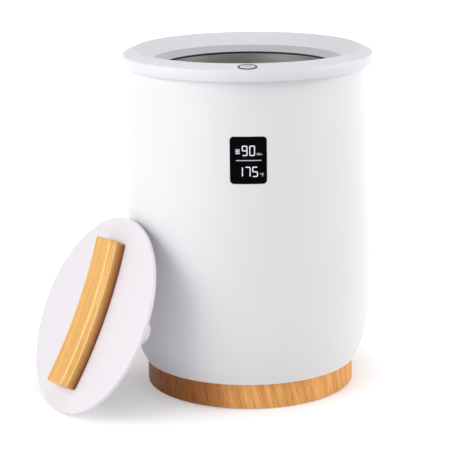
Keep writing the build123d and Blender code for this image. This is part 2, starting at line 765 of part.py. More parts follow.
# base_plate: the bottom cover with screw posts, vents and standoffs for the power board
with BuildPart() as base_plate:
    with BuildSketch(Plane.XY.offset(plate_gap)):
        Circle(plate_radius)
    extrude(amount=plate_thickness)
    with BuildSketch(Plane.XY.offset(plate_top)):
        with Locations(*base_screw_places):
            Circle(base_post_radius)
    extrude(amount=base_top - plate_top)
    with BuildSketch(Plane.XY.offset(plate_top)):
        with Locations(*board_screw_places):
            Circle(standoff_radius)
    extrude(amount=power_board_lift)
    with BuildSketch(Plane.XY.offset(plate_gap)):
        with Locations(*base_screw_places):
            Circle(base_counterbore_radius)
    extrude(amount=base_counterbore_depth, mode=Mode.SUBTRACT)
    with BuildSketch(Plane.XY.offset(plate_gap)):
        with Locations(*base_screw_places):
            Circle(m3_shank + screw_clearance)
    extrude(amount=base_top - plate_gap, mode=Mode.SUBTRACT)
    with BuildSketch(Plane.XY.offset(plate_top + power_board_lift)):
        with Locations(*board_screw_places):
            Circle(m3_shank + thread_clearance)
    extrude(amount=-board_screw_depth, mode=Mode.SUBTRACT)
    with BuildSketch(Plane.XY.offset(plate_gap)):
        Circle(foot_ring_radius + foot_fit)
        Circle(foot_ring_inner_radius - foot_fit, mode=Mode.SUBTRACT)
    extrude(amount=foot_recess, mode=Mode.SUBTRACT)
    with BuildSketch(Plane.XY.offset(plate_gap)):
        with PolarLocations(vent_circle, vent_count):
            SlotOverall(vent_length, vent_width)
    extrude(amount=plate_thickness, mode=Mode.SUBTRACT)

# foot_ring: the rubber ring under the base plate that the bucket stands on
with BuildPart() as foot_ring:
    with BuildSketch(Plane.XZ) as foot_section:
        with BuildLine():
            Polyline(
                (foot_ring_inner_radius, 0),
                (foot_ring_radius, 0),
                (foot_ring_radius, plate_gap + foot_recess),
                (foot_ring_inner_radius, plate_gap + foot_recess),
                close=True,
            )
        make_face()
        fillet(corner(foot_section, foot_ring_radius, 0), foot_edge)
        fillet(corner(foot_section, foot_ring_inner_radius, 0), foot_edge)
    revolve(axis=Axis.Z)

# base_screws: up from the counterbores into the shell's bosses
base_screw_seat = Plane(
    origin=(0, 0, plate_gap + base_counterbore_depth), x_dir=(1, 0, 0), z_dir=(0, 0, -1)
)
base_screw_length = shell_boss_top - 2 * blind_end - plate_gap - base_counterbore_depth
base_screws = screws_at(base_screw_seat, mirrored(base_screw_places), m3_shank, base_screw_length)

# cord_gland: the bushing for the mains lead at the back, held by gland_nut inside
gland_inner_end = ring_inner_radius - gland_inner_reach
with BuildPart() as cord_gland:
    with BuildSketch(Plane.XZ.offset(-gland_inner_end)):
        with Locations((0, gland_height)):
            Circle(gland_body_radius)
    extrude(amount=-(base_ring_radius - gland_inner_end))
    with BuildSketch(Plane.XZ.offset(-base_ring_radius)):
        with Locations((0, gland_height)):
            Circle(gland_flange_radius)
    extrude(amount=-gland_flange_thickness)
    gland_rim = cord_gland.edges().group_by(Axis.Y)[-1]
    fillet(gland_rim, gland_edge)
    with BuildSketch(Plane.XZ.offset(-gland_inner_end)):
        with Locations((0, gland_height)):
            Circle(gland_bore_radius)
    extrude(amount=-(base_ring_radius + gland_flange_thickness - gland_inner_end), mode=Mode.SUBTRACT)

with BuildPart() as gland_nut:
    with BuildSketch(Plane.XZ.offset(-(ring_inner_radius - gland_nut_gap))):
        with Locations((0, gland_height)):
            RegularPolygon(gland_nut_radius, 6)
            Circle(gland_body_radius + thread_clearance, mode=Mode.SUBTRACT)
    extrude(amount=gland_nut_thickness)

# ================================================================ power board
board_top = plate_top + power_board_lift + board_thickness
with BuildPart() as power_board:
    with BuildSketch(Plane.XY.offset(board_top - board_thickness)):
        Rectangle(power_board_length, power_board_width)
        with Locations(*board_screw_places):
            Circle(m3_shank + screw_clearance, mode=Mode.SUBTRACT)
    extrude(amount=board_thickness)

board_screw_length = board_thickness + board_screw_depth - thread_end
board_screws = screws_at(
    Plane.XY.offset(board_top), board_screw_places, m3_shank, board_screw_length
)


def block_on_board(place, size):
    """A component with rounded top edges that stands on the power board."""
    length, width, height = size
    with BuildPart() as block:
        with BuildSketch(Plane.XY.offset(board_top)):
            with Locations(place):
                Rectangle(length, width)
        extrude(amount=height)
        fillet(block.faces().sort_by(Axis.Z)[-1].edges(), component_edge)
    return block


transformer = block_on_board(transformer_place, transformer_size)
relay = block_on_board(relay_place, relay_size)

# terminal_block: three screw terminals for the mains lead
with BuildPart() as terminal_block:
    length, width, height = terminal_size
    with BuildSketch(Plane.XY.offset(board_top)):
        with Locations(terminal_place):
            Rectangle(length, width)
    extrude(amount=height)
    with BuildSketch(Plane.XY.offset(board_top + height)):
        with Locations(terminal_place):
            with GridLocations(length / 3, 0, 3, 1):
                Circle(terminal_hole_radius)
    extrude(amount=-height / 2, mode=Mode.SUBTRACT)

# capacitor: an upright can
with BuildPart() as capacitor:
    with BuildSketch(Plane.XY.offset(board_top)):
        with Locations(capacitor_place):
            Circle(capacitor_radius)
    extrude(amount=capacitor_height)
    fillet(capacitor.edges().group_by(Axis.Z)[-1], component_edge)

# ================================================================ display
# display_window: the curved black lens that fills the opening in the shell
with BuildPart() as display_window:
    with BuildSketch(Plane.XZ):
        with BuildLine():
            lens_top, lens_foot = body_arcs(-window_proud)
            lens_back_top, lens_back_foot = body_arcs(bezel_depth)
            Line(lens_top, lens_back_top)
            Line(lens_foot, lens_back_foot)
        make_face()
    revolve(axis=Axis.Z)
    with BuildSketch(Plane.XZ.offset(display_board_front)):
        with Locations((0, window_height)):
            RectangleRounded(window_width, window_length, window_corner)
    extrude(amount=body_belly_radius, mode=Mode.INTERSECT)

# display_bezel: the frame that carries the lens and holds the digits' module
with BuildPart() as display_bezel:
    with BuildSketch(Plane.XZ):
        with BuildLine():
            bezel_top, bezel_foot = body_arcs(bezel_depth)
            Polyline(bezel_top, (0, bezel_top[1]), (0, bezel_foot[1]), bezel_foot)
        make_face()
    revolve(axis=Axis.Z)
    with BuildSketch(Plane.XZ.offset(display_board_front)):
        with Locations((0, window_height)):
            RectangleRounded(bezel_width, bezel_length, window_corner)
            Rectangle(
                led_module_width + 2 * led_module_fit,
                led_module_length + 2 * led_module_fit,
                mode=Mode.SUBTRACT,
            )
    extrude(amount=body_belly_radius, mode=Mode.INTERSECT)

# led_module: the seven-segment module on the display board
with BuildPart() as led_module:
    with BuildSketch(Plane.XZ.offset(display_board_front)):
        with Locations((0, window_height)):
            Rectangle(led_module_width, led_module_length)
    extrude(amount=led_module_depth)

# display_board: stands on four bosses inside the shell
with BuildPart() as display_board:
    with BuildSketch(Plane.XZ.offset(display_board_back)):
        with Locations((0, window_height)):
            Rectangle(display_board_width, display_board_length)
        with Locations(*display_screw_places):
            Circle(m2_shank + screw_clearance, mode=Mode.SUBTRACT)
    extrude(amount=board_thickness)

display_screw_seat = Plane(
    origin=(0, -display_board_back, 0), x_dir=(-1, 0, 0), z_dir=(0, 1, 0)
)
display_screws = screws_at(
    display_screw_seat, display_screw_places, m2_shank, board_thickness + display_screw_depth
)

# ================================================================ power button
# button_trim_ring: the dark oval ring round the button, with a sleeve through the rim
with BuildPart() as button_trim_ring:
    with BuildSketch(button_plane.offset(-trim_sunk)):
        Ellipse(trim_half_width, trim_half_length)
    extrude(amount=trim_sunk + trim_proud)
    fillet(edges_on(button_trim_ring, button_plane, trim_proud), trim_edge)
    with BuildSketch(button_plane.offset(-sleeve_depth)):
        Ellipse(sleeve_half_width, sleeve_half_length)
    extrude(amount=sleeve_depth - trim_sunk)
    with BuildSketch(button_plane.offset(-sleeve_depth)):
        Ellipse(sleeve_half_width - sleeve_wall, sleeve_half_length - sleeve_wall)
    extrude(amount=sleeve_depth + trim_proud, mode=Mode.SUBTRACT)

# power_button: the oval cap, kept in by a flange under the sleeve
with BuildPart() as power_button:
    with BuildSketch(button_plane.offset(-cap_depth)):
        Ellipse(cap_half_width, cap_half_length)
    extrude(amount=cap_depth + cap_top)
    fillet(edges_on(power_button, button_plane, cap_top), cap_edge)
    with BuildSketch(button_plane.offset(-cap_depth)):
        Ellipse(cap_half_width + cap_flange, cap_half_length + cap_flange)
    extrude(amount=cap_depth - sleeve_depth - cap_clearance)

# switch_plunger: the switch's own stem, which the cap rests on
with BuildPart() as switch_plunger:
    with BuildSketch(button_plane.offset(-cap_depth)):
        Circle(plunger_radius)
    extrude(amount=-(tact_top_depth + plunger_reach - cap_depth))

# tact_switch: on the switch board under the cap
with BuildPart() as tact_switch:
    with BuildSketch(button_plane.offset(-switch_board_depth)):
        Rectangle(tact_size, tact_size)
    extrude(amount=tact_height)
    with BuildSketch(button_plane.offset(-tact_top_depth)):
        Circle(plunger_radius + plunger_clearance)
    extrude(amount=-(plunger_reach + button_travel + plunger_clearance), mode=Mode.SUBTRACT)

switch_board_base = -switch_board_depth - switch_board_thickness
with BuildPart() as switch_board:
    with BuildSketch(button_plane.offset(switch_board_base)):
        Rectangle(switch_board_length, switch_board_width)
        with Locations(*switch_screw_places):
            Circle(switch_shank + screw_clearance, mode=Mode.SUBTRACT)
    extrude(amount=switch_board_thickness)

switch_screw_seat = Plane(
    origin=button_plane.offset(switch_board_base).origin,
    x_dir=(1, 0, 0),
    z_dir=-button_plane.z_dir,
)
switch_screw_length = switch_board_thickness + switch_screw_depth - thread_end
switch_screws = screws_at(
    switch_screw_seat, switch_screw_places, switch_shank, switch_screw_length
)

# ================================================================ lid
# lid_cover: the round top of the lid, with four screw bosses under it
with BuildPart() as lid_cover:
    with BuildSketch(lid_section):
        with BuildLine():
            Polyline(
                (0, 0),
                (lid_radius, 0),
                (lid_radius, -lid_edge),
                (lid_radius - lid_skirt, -lid_edge),
                (lid_radius - lid_skirt, -lid_skin),
                (0, -lid_skin),
                close=True,
            )
        make_face()
    revolve(axis=lid_axis)
    fillet(edges_on(lid_cover, lid_plane, 0), lid_top_fillet)
    fillet(edges_on(lid_cover, lid_plane, -lid_edge), lid_lower_fillet)
    with BuildSketch(lid_plane.offset(-lid_skin)):
        with Locations(*liner_screw_places):
            Circle(liner_boss_radius)
    extrude(amount=-(liner_floor - liner_wall - lid_skin))
    with BuildSketch(lid_plane.offset(-(liner_floor - liner_wall))):
        with Locations(*liner_screw_places):
            Circle(m3_shank + thread_clearance)
    extrude(amount=liner_floor - liner_wall - lid_skin, mode=Mode.SUBTRACT)
    with BuildSketch(lid_plane):
        with Locations(*handle_screw_places):
            Circle(m4_shank + screw_clearance)
    extrude(amount=-lid_skin, mode=Mode.SUBTRACT)

# lid_liner: the underside moulding, a shallow cup with four hollow lugs
with BuildPart() as lid_liner:
    liner_flange_radius = lid_radius - lid_skirt - liner_fit
    cup_inner_radius = liner_cup_radius - liner_wall
    with BuildSketch(lid_section):
        with BuildLine():
            Polyline(
                (cup_inner_radius, -lid_skin),
                (liner_flange_radius, -lid_skin),
                (liner_flange_radius, -lid_edge),
                (liner_cup_radius, -lid_edge),
                (liner_cup_radius, -liner_floor),
                (0, -liner_floor),
                (0, -(liner_floor - liner_wall)),
                (cup_inner_radius, -(liner_floor - liner_wall)),
                close=True,
            )
        make_face()
    revolve(axis=lid_axis)
    with BuildSketch(lid_plane.offset(-liner_floor)):
        with Locations(*lug_places):
            Circle(lug_radius)
    extrude(amount=-lug_height)
    fillet(edges_on(lid_liner, lid_plane, -lug_bottom), lug_fillet)
    with BuildSketch(lid_plane.offset(-(liner_floor - liner_wall))):
        with Locations(*lug_places):
            Circle(lug_radius - liner_wall)
    extrude(amount=-lug_height, mode=Mode.SUBTRACT)
    with BuildSketch(lid_plane.offset(-liner_floor)):
        with Locations(*liner_screw_places):
            Circle(m3_shank + screw_clearance)
    extrude(amount=liner_wall, mode=Mode.SUBTRACT)

# lid_insulation: the foam disc inside the lid
with BuildPart() as lid_insulation:
    with BuildSketch(lid_plane.offset(-(liner_floor - liner_wall))):
        Circle(cup_inner_radius - foam_clearance)
        with Locations(*liner_screw_places):
            Circle(liner_boss_radius + foam_clearance, mode=Mode.SUBTRACT)
        with Locations(*handle_screw_places):
            Circle(washer_radius + foam_clearance, mode=Mode.SUBTRACT)
    extrude(amount=liner_floor - liner_wall - lid_skin - lid_foam_gap)

# lid_seal: the silicone ring under the lid's edge
with BuildPart() as lid_seal:
    with BuildSketch(lid_plane.offset(-lid_edge)):
        Circle(lid_seal_radius)
        Circle(lid_seal_radius - lid_seal_width, mode=Mode.SUBTRACT)
    extrude(amount=-lid_seal_height)
    fillet(edges_on(lid_seal, lid_plane, -lid_edge - lid_seal_height), seal_edge)

# lid_handle: the wooden crescent bar, flat where it lies on the lid
with BuildPart() as lid_handle:
    half_length = handle_length / 2
    left_end, right_end = handle_offset - handle_width / 2, handle_offset + handle_width / 2
    with BuildSketch(lid_plane):
        with BuildLine():
            ThreePointArc((left_end, -half_length), (left_end + handle_bow, 0), (left_end, half_length))
            ThreePointArc((right_end, -half_length), (right_end + handle_bow, 0), (right_end, half_length))
            Line((left_end, -half_length), (right_end, -half_length))
            Line((left_end, half_length), (right_end, half_length))
        make_face()
    extrude(amount=handle_height)
    handle_top_edges = edges_on(lid_handle, lid_plane, handle_height)
    chamfer(handle_top_edges.filter_by(GeomType.CIRCLE), handle_chamfer)
    handle_ends = lid_handle.faces().filter_by(Axis(lid_centre, lid_y))
    handle_foot_edges = edges_on(lid_handle, lid_plane, 0)
    fillet(handle_ends.edges() - handle_foot_edges, handle_end_fillet)
    with BuildSketch(lid_plane):
        with Locations(*handle_screw_places):
            Circle(insert_radius + insert_clearance)
    extrude(amount=insert_lift + insert_depth + blind_end, mode=Mode.SUBTRACT)

# handle_inserts: the threaded brass sleeves in the handle
with BuildPart() as handle_inserts:
    with BuildSketch(lid_plane.offset(insert_lift)):
        with Locations(*handle_screw_places):
            Circle(insert_radius)
            Circle(m4_shank + thread_clearance, mode=Mode.SUBTRACT)
    extrude(amount=insert_depth)

# handle_washers: under the screw heads inside the lid
with BuildPart() as handle_washers:
    with BuildSketch(lid_plane.offset(-lid_skin - washer_thickness)):
        with Locations(*handle_screw_places):
            Circle(washer_radius)
            Circle(m4_shank + screw_clearance, mode=Mode.SUBTRACT)
    extrude(amount=washer_thickness)

handle_screw_seat = Plane(
    origin=lid_plane.offset(-lid_skin - washer_thickness).origin, x_dir=lid_x, z_dir=-lid_normal
)
handle_screw_length = washer_thickness + lid_skin + insert_lift + insert_depth - thread_end
handle_screws = screws_at(
    handle_screw_seat, mirrored(handle_screw_places), m4_shank, handle_screw_length
)

liner_screw_seat = Plane(
    origin=lid_plane.offset(-liner_floor).origin, x_dir=lid_x, z_dir=-lid_normal
)
liner_screw_length = liner_floor - lid_skin - thread_end
liner_screws = screws_at(
    liner_screw_seat, mirrored(liner_screw_places), m3_shank, liner_screw_length
)

# ================================================================ wiring
harness_circle = blanket_outer_radius + harness_clearance + harness_radius
shelf_height = (shell_flange_top + shell_boss_top) / 2


def wire_tube(points, radii):
    """A bundle of wires along straight runs joined by tangent arcs."""
    with BuildPart() as tube:
        with BuildLine() as route:
            FilletPolyline(*points, radius=radii)
        with BuildSketch(Plane(origin=route.line @ 0, z_dir=route.line % 0)):
            Circle(harness_radius)
        sweep()
    return tube


# display_harness: from the display board down between the felt and the shell to the power board
display_wire_height = window_height - display_board_length / 2 + 2 * harness_radius
display_harness = wire_tube(
    [
        (display_wire_x, -display_board_back + wire_gap, display_wire_height),
        (display_wire_x, -harness_circle, display_wire_height),
        (display_wire_x, -harness_circle, shelf_height),
        (display_wire_x, display_wire_end, shelf_height),
        (display_wire_x, display_wire_end, board_top + wire_gap),
    ],
    [harness_small_bend, harness_bend, harness_bend],
)

# switch_harness: from the switch board down to the top edge of the display board
switch_wire_start = button_plane.from_local_coords(
    (switch_wire_x, switch_board_width / 4, switch_board_base - switch_wire_gap)
)
switch_wire_y = -(display_board_front + display_board_back) / 2
switch_wire_turn = switch_wire_start.Z - switch_wire_drop
display_board_top = window_height + display_board_length / 2
switch_harness = wire_tube(
    [
        tuple(switch_wire_start),
        (switch_wire_x, switch_wire_y, switch_wire_turn),
        (switch_wire_x, switch_wire_y, display_board_top + wire_gap),
    ],
    [harness_small_bend],
)

# ================================================================ files
pieces = {
    "outer_shell": outer_shell,
    "rim_collar": rim_collar,
    "collar_screws": collar_screws,
    "inner_tub": inner_tub,
    "tub_screws": tub_screws,
    "tub_gasket": tub_gasket,
    "heater_film": heater_film,
    "insulation_blanket": insulation_blanket,
    "temperature_sensor": temperature_sensor,
    "bottom_heater": bottom_heater,
    "thermostat": thermostat,
    "thermal_fuse": thermal_fuse,
    "heat_shield": heat_shield,
    "insulation_pad": insulation_pad,
    "base_ring": base_ring,
    "base_plate": base_plate,
    "foot_ring": foot_ring,
    "base_screws": base_screws,
    "cord_gland": cord_gland,
    "gland_nut": gland_nut,
    "power_board": power_board,
    "board_screws": board_screws,
    "transformer": transformer,
    "relay": relay,
    "terminal_block": terminal_block,
    "capacitor": capacitor,
    "display_window": display_window,
    "display_bezel": display_bezel,
    "led_module": led_module,
    "display_board": display_board,
    "display_screws": display_screws,
    "button_trim_ring": button_trim_ring,
    "power_button": power_button,
    "switch_plunger": switch_plunger,
    "tact_switch": tact_switch,
    "switch_board": switch_board,
    "switch_screws": switch_screws,
    "lid_cover": lid_cover,
    "lid_liner": lid_liner,
    "lid_insulation": lid_insulation,
    "lid_seal": lid_seal,
    "lid_handle": lid_handle,
    "handle_inserts": handle_inserts,
    "handle_washers": handle_washers,
    "handle_screws": handle_screws,
    "liner_screws": liner_screws,
    "display_harness": display_harness,
    "switch_harness": switch_harness,
}
os.makedirs("parts", exist_ok=True)
for label, piece in pieces.items():
    piece.part.label = label
    export_step(piece.part, f"parts/{label}.step")
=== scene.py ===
import json
import math

import bmesh
import bpy
from mathutils import Matrix, Vector


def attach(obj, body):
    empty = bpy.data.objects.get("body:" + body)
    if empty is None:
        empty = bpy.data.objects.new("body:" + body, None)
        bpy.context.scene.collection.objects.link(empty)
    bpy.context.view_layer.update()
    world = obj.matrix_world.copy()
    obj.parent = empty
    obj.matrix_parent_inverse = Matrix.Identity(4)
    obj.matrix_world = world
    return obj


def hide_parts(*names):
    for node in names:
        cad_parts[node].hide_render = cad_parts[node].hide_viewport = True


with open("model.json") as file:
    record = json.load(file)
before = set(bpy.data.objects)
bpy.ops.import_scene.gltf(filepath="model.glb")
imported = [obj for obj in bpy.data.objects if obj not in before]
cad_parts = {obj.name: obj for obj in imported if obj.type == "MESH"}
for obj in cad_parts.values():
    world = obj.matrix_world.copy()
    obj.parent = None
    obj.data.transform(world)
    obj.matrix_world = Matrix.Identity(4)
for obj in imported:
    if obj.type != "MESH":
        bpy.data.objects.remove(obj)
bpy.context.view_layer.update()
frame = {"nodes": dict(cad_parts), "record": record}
nodes = frame["nodes"]

# Towel warmer bucket, in metres: the bucket stands at the origin and its display faces -Y.
MM = 0.001

# ---------------------------------------------------------------- places on the bucket
WINDOW_HEIGHT = 304.0 * MM      # centre of the display window above the floor
BUTTON_PLACE = Vector((0, -142.717, 410.351)) * MM
BUTTON_SLOPE = math.radians(24.476)
CAP_TOP = 0.65 * MM             # top of the cap above the rim's slope
STEP_HEIGHT = 399.6 * MM        # the rim's step line, where the funnel ends
STEP_RADIUS = 113.6 * MM
LIP_HEIGHT = 392.8 * MM         # the rim's lip round the mouth of the tub
LIP_RADIUS = 104.1 * MM

# ---------------------------------------------------------------- the lid and its handle
LID_CENTRE = Vector((-186.248, -99.865, 110.696)) * MM
LID_LEAN = math.radians(26.0)   # how far its face leans back from upright
LID_FACING = math.radians(210.9)    # the way its face looks, counted from +X
LID_SPIN = math.radians(4.6)    # the handle's turn in that face
HANDLE_LENGTH = 181.0 * MM
HANDLE_WIDTH = 45.5 * MM
HANDLE_HEIGHT = 18.4 * MM
HANDLE_CHAMFER = 5.6 * MM
HANDLE_BOW = 11.5 * MM          # how far the middle stands out from the ends, along the lid's X
HANDLE_OFFSET = -3.2 * MM       # centre of its ends from the lid's centre line
HANDLE_SOFT_EDGE = 1.0 * MM     # how far each long edge is sanded back
HANDLE_END_ROUND = 3.6 * MM     # rounding of its ends at the sides
HANDLE_END_TOP_ROUND = 2.4 * MM     # and over the top
HANDLE_STATIONS = 18            # sections along its straight run
HANDLE_END_ANGLES = range(0, 90, 15)    # and round each end, in degrees
HANDLE_FOOT_SHADE_START = 0.5 * MM    # the painted shade line at its foot is full up to here
HANDLE_FOOT_SHADE_END = 4.5 * MM      # and gone from here on
EDGE_HIGHLIGHT_INNER = 0.4 * MM      # the painted highlights on the long edges are full this far round their line
EDGE_HIGHLIGHT_OUTER = 1.5 * MM

# ---------------------------------------------------------------- base ring
RING_RADIUS = 127.0 * MM
RING_TILT = math.radians(13)    # the grain of the base ring leans this far from upright
BURL_PLACE = Vector((-104.0, -70.0, 16.0)) * MM
BURL_REACH = 70.0 * MM
BROWN_INNER = 60.0 * MM         # the wood is brown this far round the burl
BROWN_OUTER = 112.0 * MM        # and honey-coloured from here on

# ---------------------------------------------------------------- marks
SEGMENTS = {"0": "abcdef", "1": "bc", "5": "acdfg", "7": "abc", "9": "abcdfg"}
DIGIT_WIDTH = 5.3 * MM          # between the middles of its bars, as the height is
DIGIT_HEIGHT = 10.7 * MM
DIGIT_STROKE = 1.25 * MM
MARK_LIFT = 0.04 * MM           # gap between the window and the marks
MARK_DEPTH = 0.06 * MM
LABEL_LIFT = 0.01 * MM          # gap between the cap and its label
# Places on the window in millimetres, to the right of its middle and above it.
DIGIT_PLACES = (
    ("9", -4.1, 11.1), ("0", 4.4, 11.1),
    ("1", -9.5, -13.0), ("7", -0.8, -13.0), ("5", 7.5, -13.0),
)
UNIT_PLACES = (("Min", 5.8, 12.7, 7.2), ("°F", 4.4, 15.2, -16.5))  # words and their width come first
ICON_PLACES = ((-12.1, 8.1), (-12.1, 10.1), (-12.1, 12.1))
ICON_BAR = (5.2 * MM, 1.5 * MM)     # length and thickness
DIVIDER_BAR = (29.3 * MM, 0.95 * MM)
DIVIDER_PLACE = (0.4 * MM, 0.0)
BRIGHT_GLOW = 0.42              # the digits' emission
DIM_GLOW = 0.16                 # and the smaller marks'
LABEL_WIDTH = 8.6 * MM

# ---------------------------------------------------------------- camera
CAMERA_DISTANCE = 2.0531        # in front of the bucket's axis
CAMERA_HEIGHT = 0.7017
CAMERA_PITCH = 0.2484           # radians down
CAMERA_YAW = -0.0084
CAMERA_ROLL = -0.0114
LENS_MM = 132.1
SENSOR_MM = 36.0

# ---------------------------------------------------------------- light and floor
WORLD_AMBIENT = 0.30            # strength that the object's surfaces get from the sides
WORLD_OVERHEAD = 0.24           # and from straight above
FLOOR_HALF_WIDTH = 14.0
FLOOR_LIT = 0.80                # share of the floor's white that its own light makes, by the bucket
FLOOR_WHITE = 1.60              # the rest, as white to the eye
FLOOR_LIT_CENTRE = (-0.05, 0.0, 0.0)
FLOOR_LIT_INNER = 0.15          # the share holds up to this distance
FLOOR_LIT_OUTER = 0.38          # and is gone from here on
SOFTBOX_TARGET = Vector((0, 0, 0.2))
# Azimuth in degrees from the front towards the right, elevation, distance, size and power.
SOFTBOXES = {
    "left_softbox": (-58, 22, 1.7, (1.6, 1.0), 14.7),
    "front_softbox": (-38, 30, 1.7, (1.0, 1.0), 2.7),
    "right_softbox": (85, 22, 1.9, (1.3, 1.0), 17.6),
    "top_softbox": (10, 70, 1.7, (1.2, 1.2), 6.2),
}


def place_camera():
    """The camera at the photograph's viewing angle."""
    data = bpy.data.cameras.new("camera")
    data.sensor_width = SENSOR_MM
    data.lens = LENS_MM
    data.clip_end = 50.0
    camera = bpy.data.objects.new("camera", data)
    bpy.context.scene.collection.objects.link(camera)
    forward = Vector((
        math.sin(CAMERA_YAW) * math.cos(CAMERA_PITCH),
        math.cos(CAMERA_YAW) * math.cos(CAMERA_PITCH),
        -math.sin(CAMERA_PITCH),
    ))
    level = Vector((math.cos(CAMERA_YAW), -math.sin(CAMERA_YAW), 0))
    upright = level.cross(forward)
    right = level * math.cos(CAMERA_ROLL) + upright * math.sin(CAMERA_ROLL)
    up = upright * math.cos(CAMERA_ROLL) - level * math.sin(CAMERA_ROLL)
    turn = Matrix((right, up, -forward)).transposed().to_4x4()
    camera.matrix_world = Matrix.Translation((0, -CAMERA_DISTANCE, CAMERA_HEIGHT)) @ turn
    bpy.context.scene.camera = camera


# ---------------------------------------------------------------- node helpers
def feed(tree, socket, value):
    """Link a value into a socket if it comes from a node, and write it there otherwise."""
    if isinstance(value, bpy.types.NodeSocket):
        tree.links.new(value, socket)
    else:
        socket.default_value = value


def maths(tree, operation, *values, clamp=False):
    node = tree.nodes.new("ShaderNodeMath")
    node.operation = operation
    node.use_clamp = clamp
    for socket, value in zip(node.inputs, values):
        feed(tree, socket, value)
    return node.outputs["Value"]


def vector_maths(tree, operation, *values, scale=None):
    node = tree.nodes.new("ShaderNodeVectorMath")
    node.operation = operation
    for socket, value in zip(node.inputs, values):
        feed(tree, socket, value)
    if scale is not None:
        feed(tree, node.inputs["Scale"], scale)
    return node.outputs["Vector"]


def noise(tree, vector, scale, detail=2.0, roughness=0.5, distortion=0.0, output="Fac"):
    node = tree.nodes.new("ShaderNodeTexNoise")
    feed(tree, node.inputs["Vector"], vector)
    feed(tree, node.inputs["Scale"], scale)
    node.inputs["Detail"].default_value = detail
    node.inputs["Roughness"].default_value = roughness
    node.inputs["Distortion"].default_value = distortion
    return node.outputs[output]


def spread(tree, value, low, high, out_low=0.0, out_high=1.0):
    """The value's range from low to high laid over another range, clamped and eased at its ends."""
    node = tree.nodes.new("ShaderNodeMapRange")
    node.interpolation_type = "SMOOTHSTEP"
    for label, number in (
        ("Value", value), ("From Min", low), ("From Max", high), ("To Min", out_low), ("To Max", out_high)
    ):
        feed(tree, node.inputs[label], number)
    return node.outputs["Result"]


def falling(tree, value, start, end):
    """1 up to the start, falling to 0 at the end."""
    return spread(tree, value, start, end, 1.0, 0.0)


def mix_colours(tree, factor, first, second, blend="MIX"):
    node = tree.nodes.new("ShaderNodeMix")
    node.data_type = "RGBA"
    node.blend_type = blend
    feed(tree, node.inputs["Factor"], factor)
    feed(tree, node.inputs["A"], first)
    feed(tree, node.inputs["B"], second)
    return node.outputs["Result"]


def tinted(tree, colour, tint):
    return mix_colours(tree, 1.0, colour, (*tint, 1), "MULTIPLY")


def bumped(tree, height, distance):
    node = tree.nodes.new("ShaderNodeBump")
    feed(tree, node.inputs["Height"], height)
    feed(tree, node.inputs["Distance"], distance)
    return node.outputs["Normal"]


def split(tree, vector):
    node = tree.nodes.new("ShaderNodeSeparateXYZ")
    feed(tree, node.inputs["Vector"], vector)
    return node.outputs["X"], node.outputs["Y"], node.outputs["Z"]


def joined(tree, x, y, z):
    node = tree.nodes.new("ShaderNodeCombineXYZ")
    for socket, value in zip(node.inputs, (x, y, z)):
        feed(tree, socket, value)
    return node.outputs["Vector"]


def object_coordinates(tree):
    return tree.nodes.new("ShaderNodeTexCoord").outputs["Object"]


def distance_from_axis(tree, x, y):
    """Distance from the bucket's upright axis."""
    squares = maths(tree, "ADD", maths(tree, "MULTIPLY", x, x), maths(tree, "MULTIPLY", y, y))
    return maths(tree, "SQRT", squares)


# ---------------------------------------------------------------- shared effects
SOCKETS = {"vector": "NodeSocketVector", "colour": "NodeSocketColor", "number": "NodeSocketFloat"}
GRAIN_STRETCH = (1.0, 0.055, 1.0)  # wood streaks and brush marks run along Y
BRUSH_STRETCH = (1.0, 0.03, 1.0)


def new_effect(name, inputs):
    """An empty shader group that puts out a colour, a roughness and a normal."""
    group = bpy.data.node_groups.new(name, "ShaderNodeTree")
    for label, kind in inputs.items():
        group.interface.new_socket(label, in_out="INPUT", socket_type=SOCKETS[kind])
    for label, kind in (("Color", "colour"), ("Roughness", "number"), ("Normal", "vector")):
        group.interface.new_socket(label, in_out="OUTPUT", socket_type=SOCKETS[kind])
    return group, group.nodes.new("NodeGroupInput").outputs, group.nodes.new("NodeGroupOutput").inputs


def make_moulded_skin():
    """Moulded plastic: slow changes of tone, a fine skin and uneven gloss."""
    group, given, out = new_effect("moulded_skin", {
        "Vector": "vector", "Color": "colour", "Tone spread": "number", "Roughness": "number",
        "Roughness spread": "number", "Skin scale": "number", "Skin depth": "number",
    })
    slow = noise(group, given["Vector"], 14.0, detail=2.0)
    fine = noise(group, given["Vector"], given["Skin scale"], detail=3.0, roughness=0.6)
    smears = noise(group, given["Vector"], 55.0, detail=4.0, roughness=0.65)
    tone = maths(group, "MULTIPLY_ADD", maths(group, "SUBTRACT", slow, 0.5), given["Tone spread"], 1.0)
    feed(group, out["Color"], vector_maths(group, "SCALE", given["Color"], scale=tone))
    uneven = maths(group, "SUBTRACT", maths(group, "MULTIPLY_ADD", fine, 0.4, smears), 0.7)
    rough = maths(group, "MULTIPLY_ADD", uneven, given["Roughness spread"], given["Roughness"])
    feed(group, out["Roughness"], rough)
    feed(group, out["Normal"], bumped(group, fine, given["Skin depth"]))
    return group


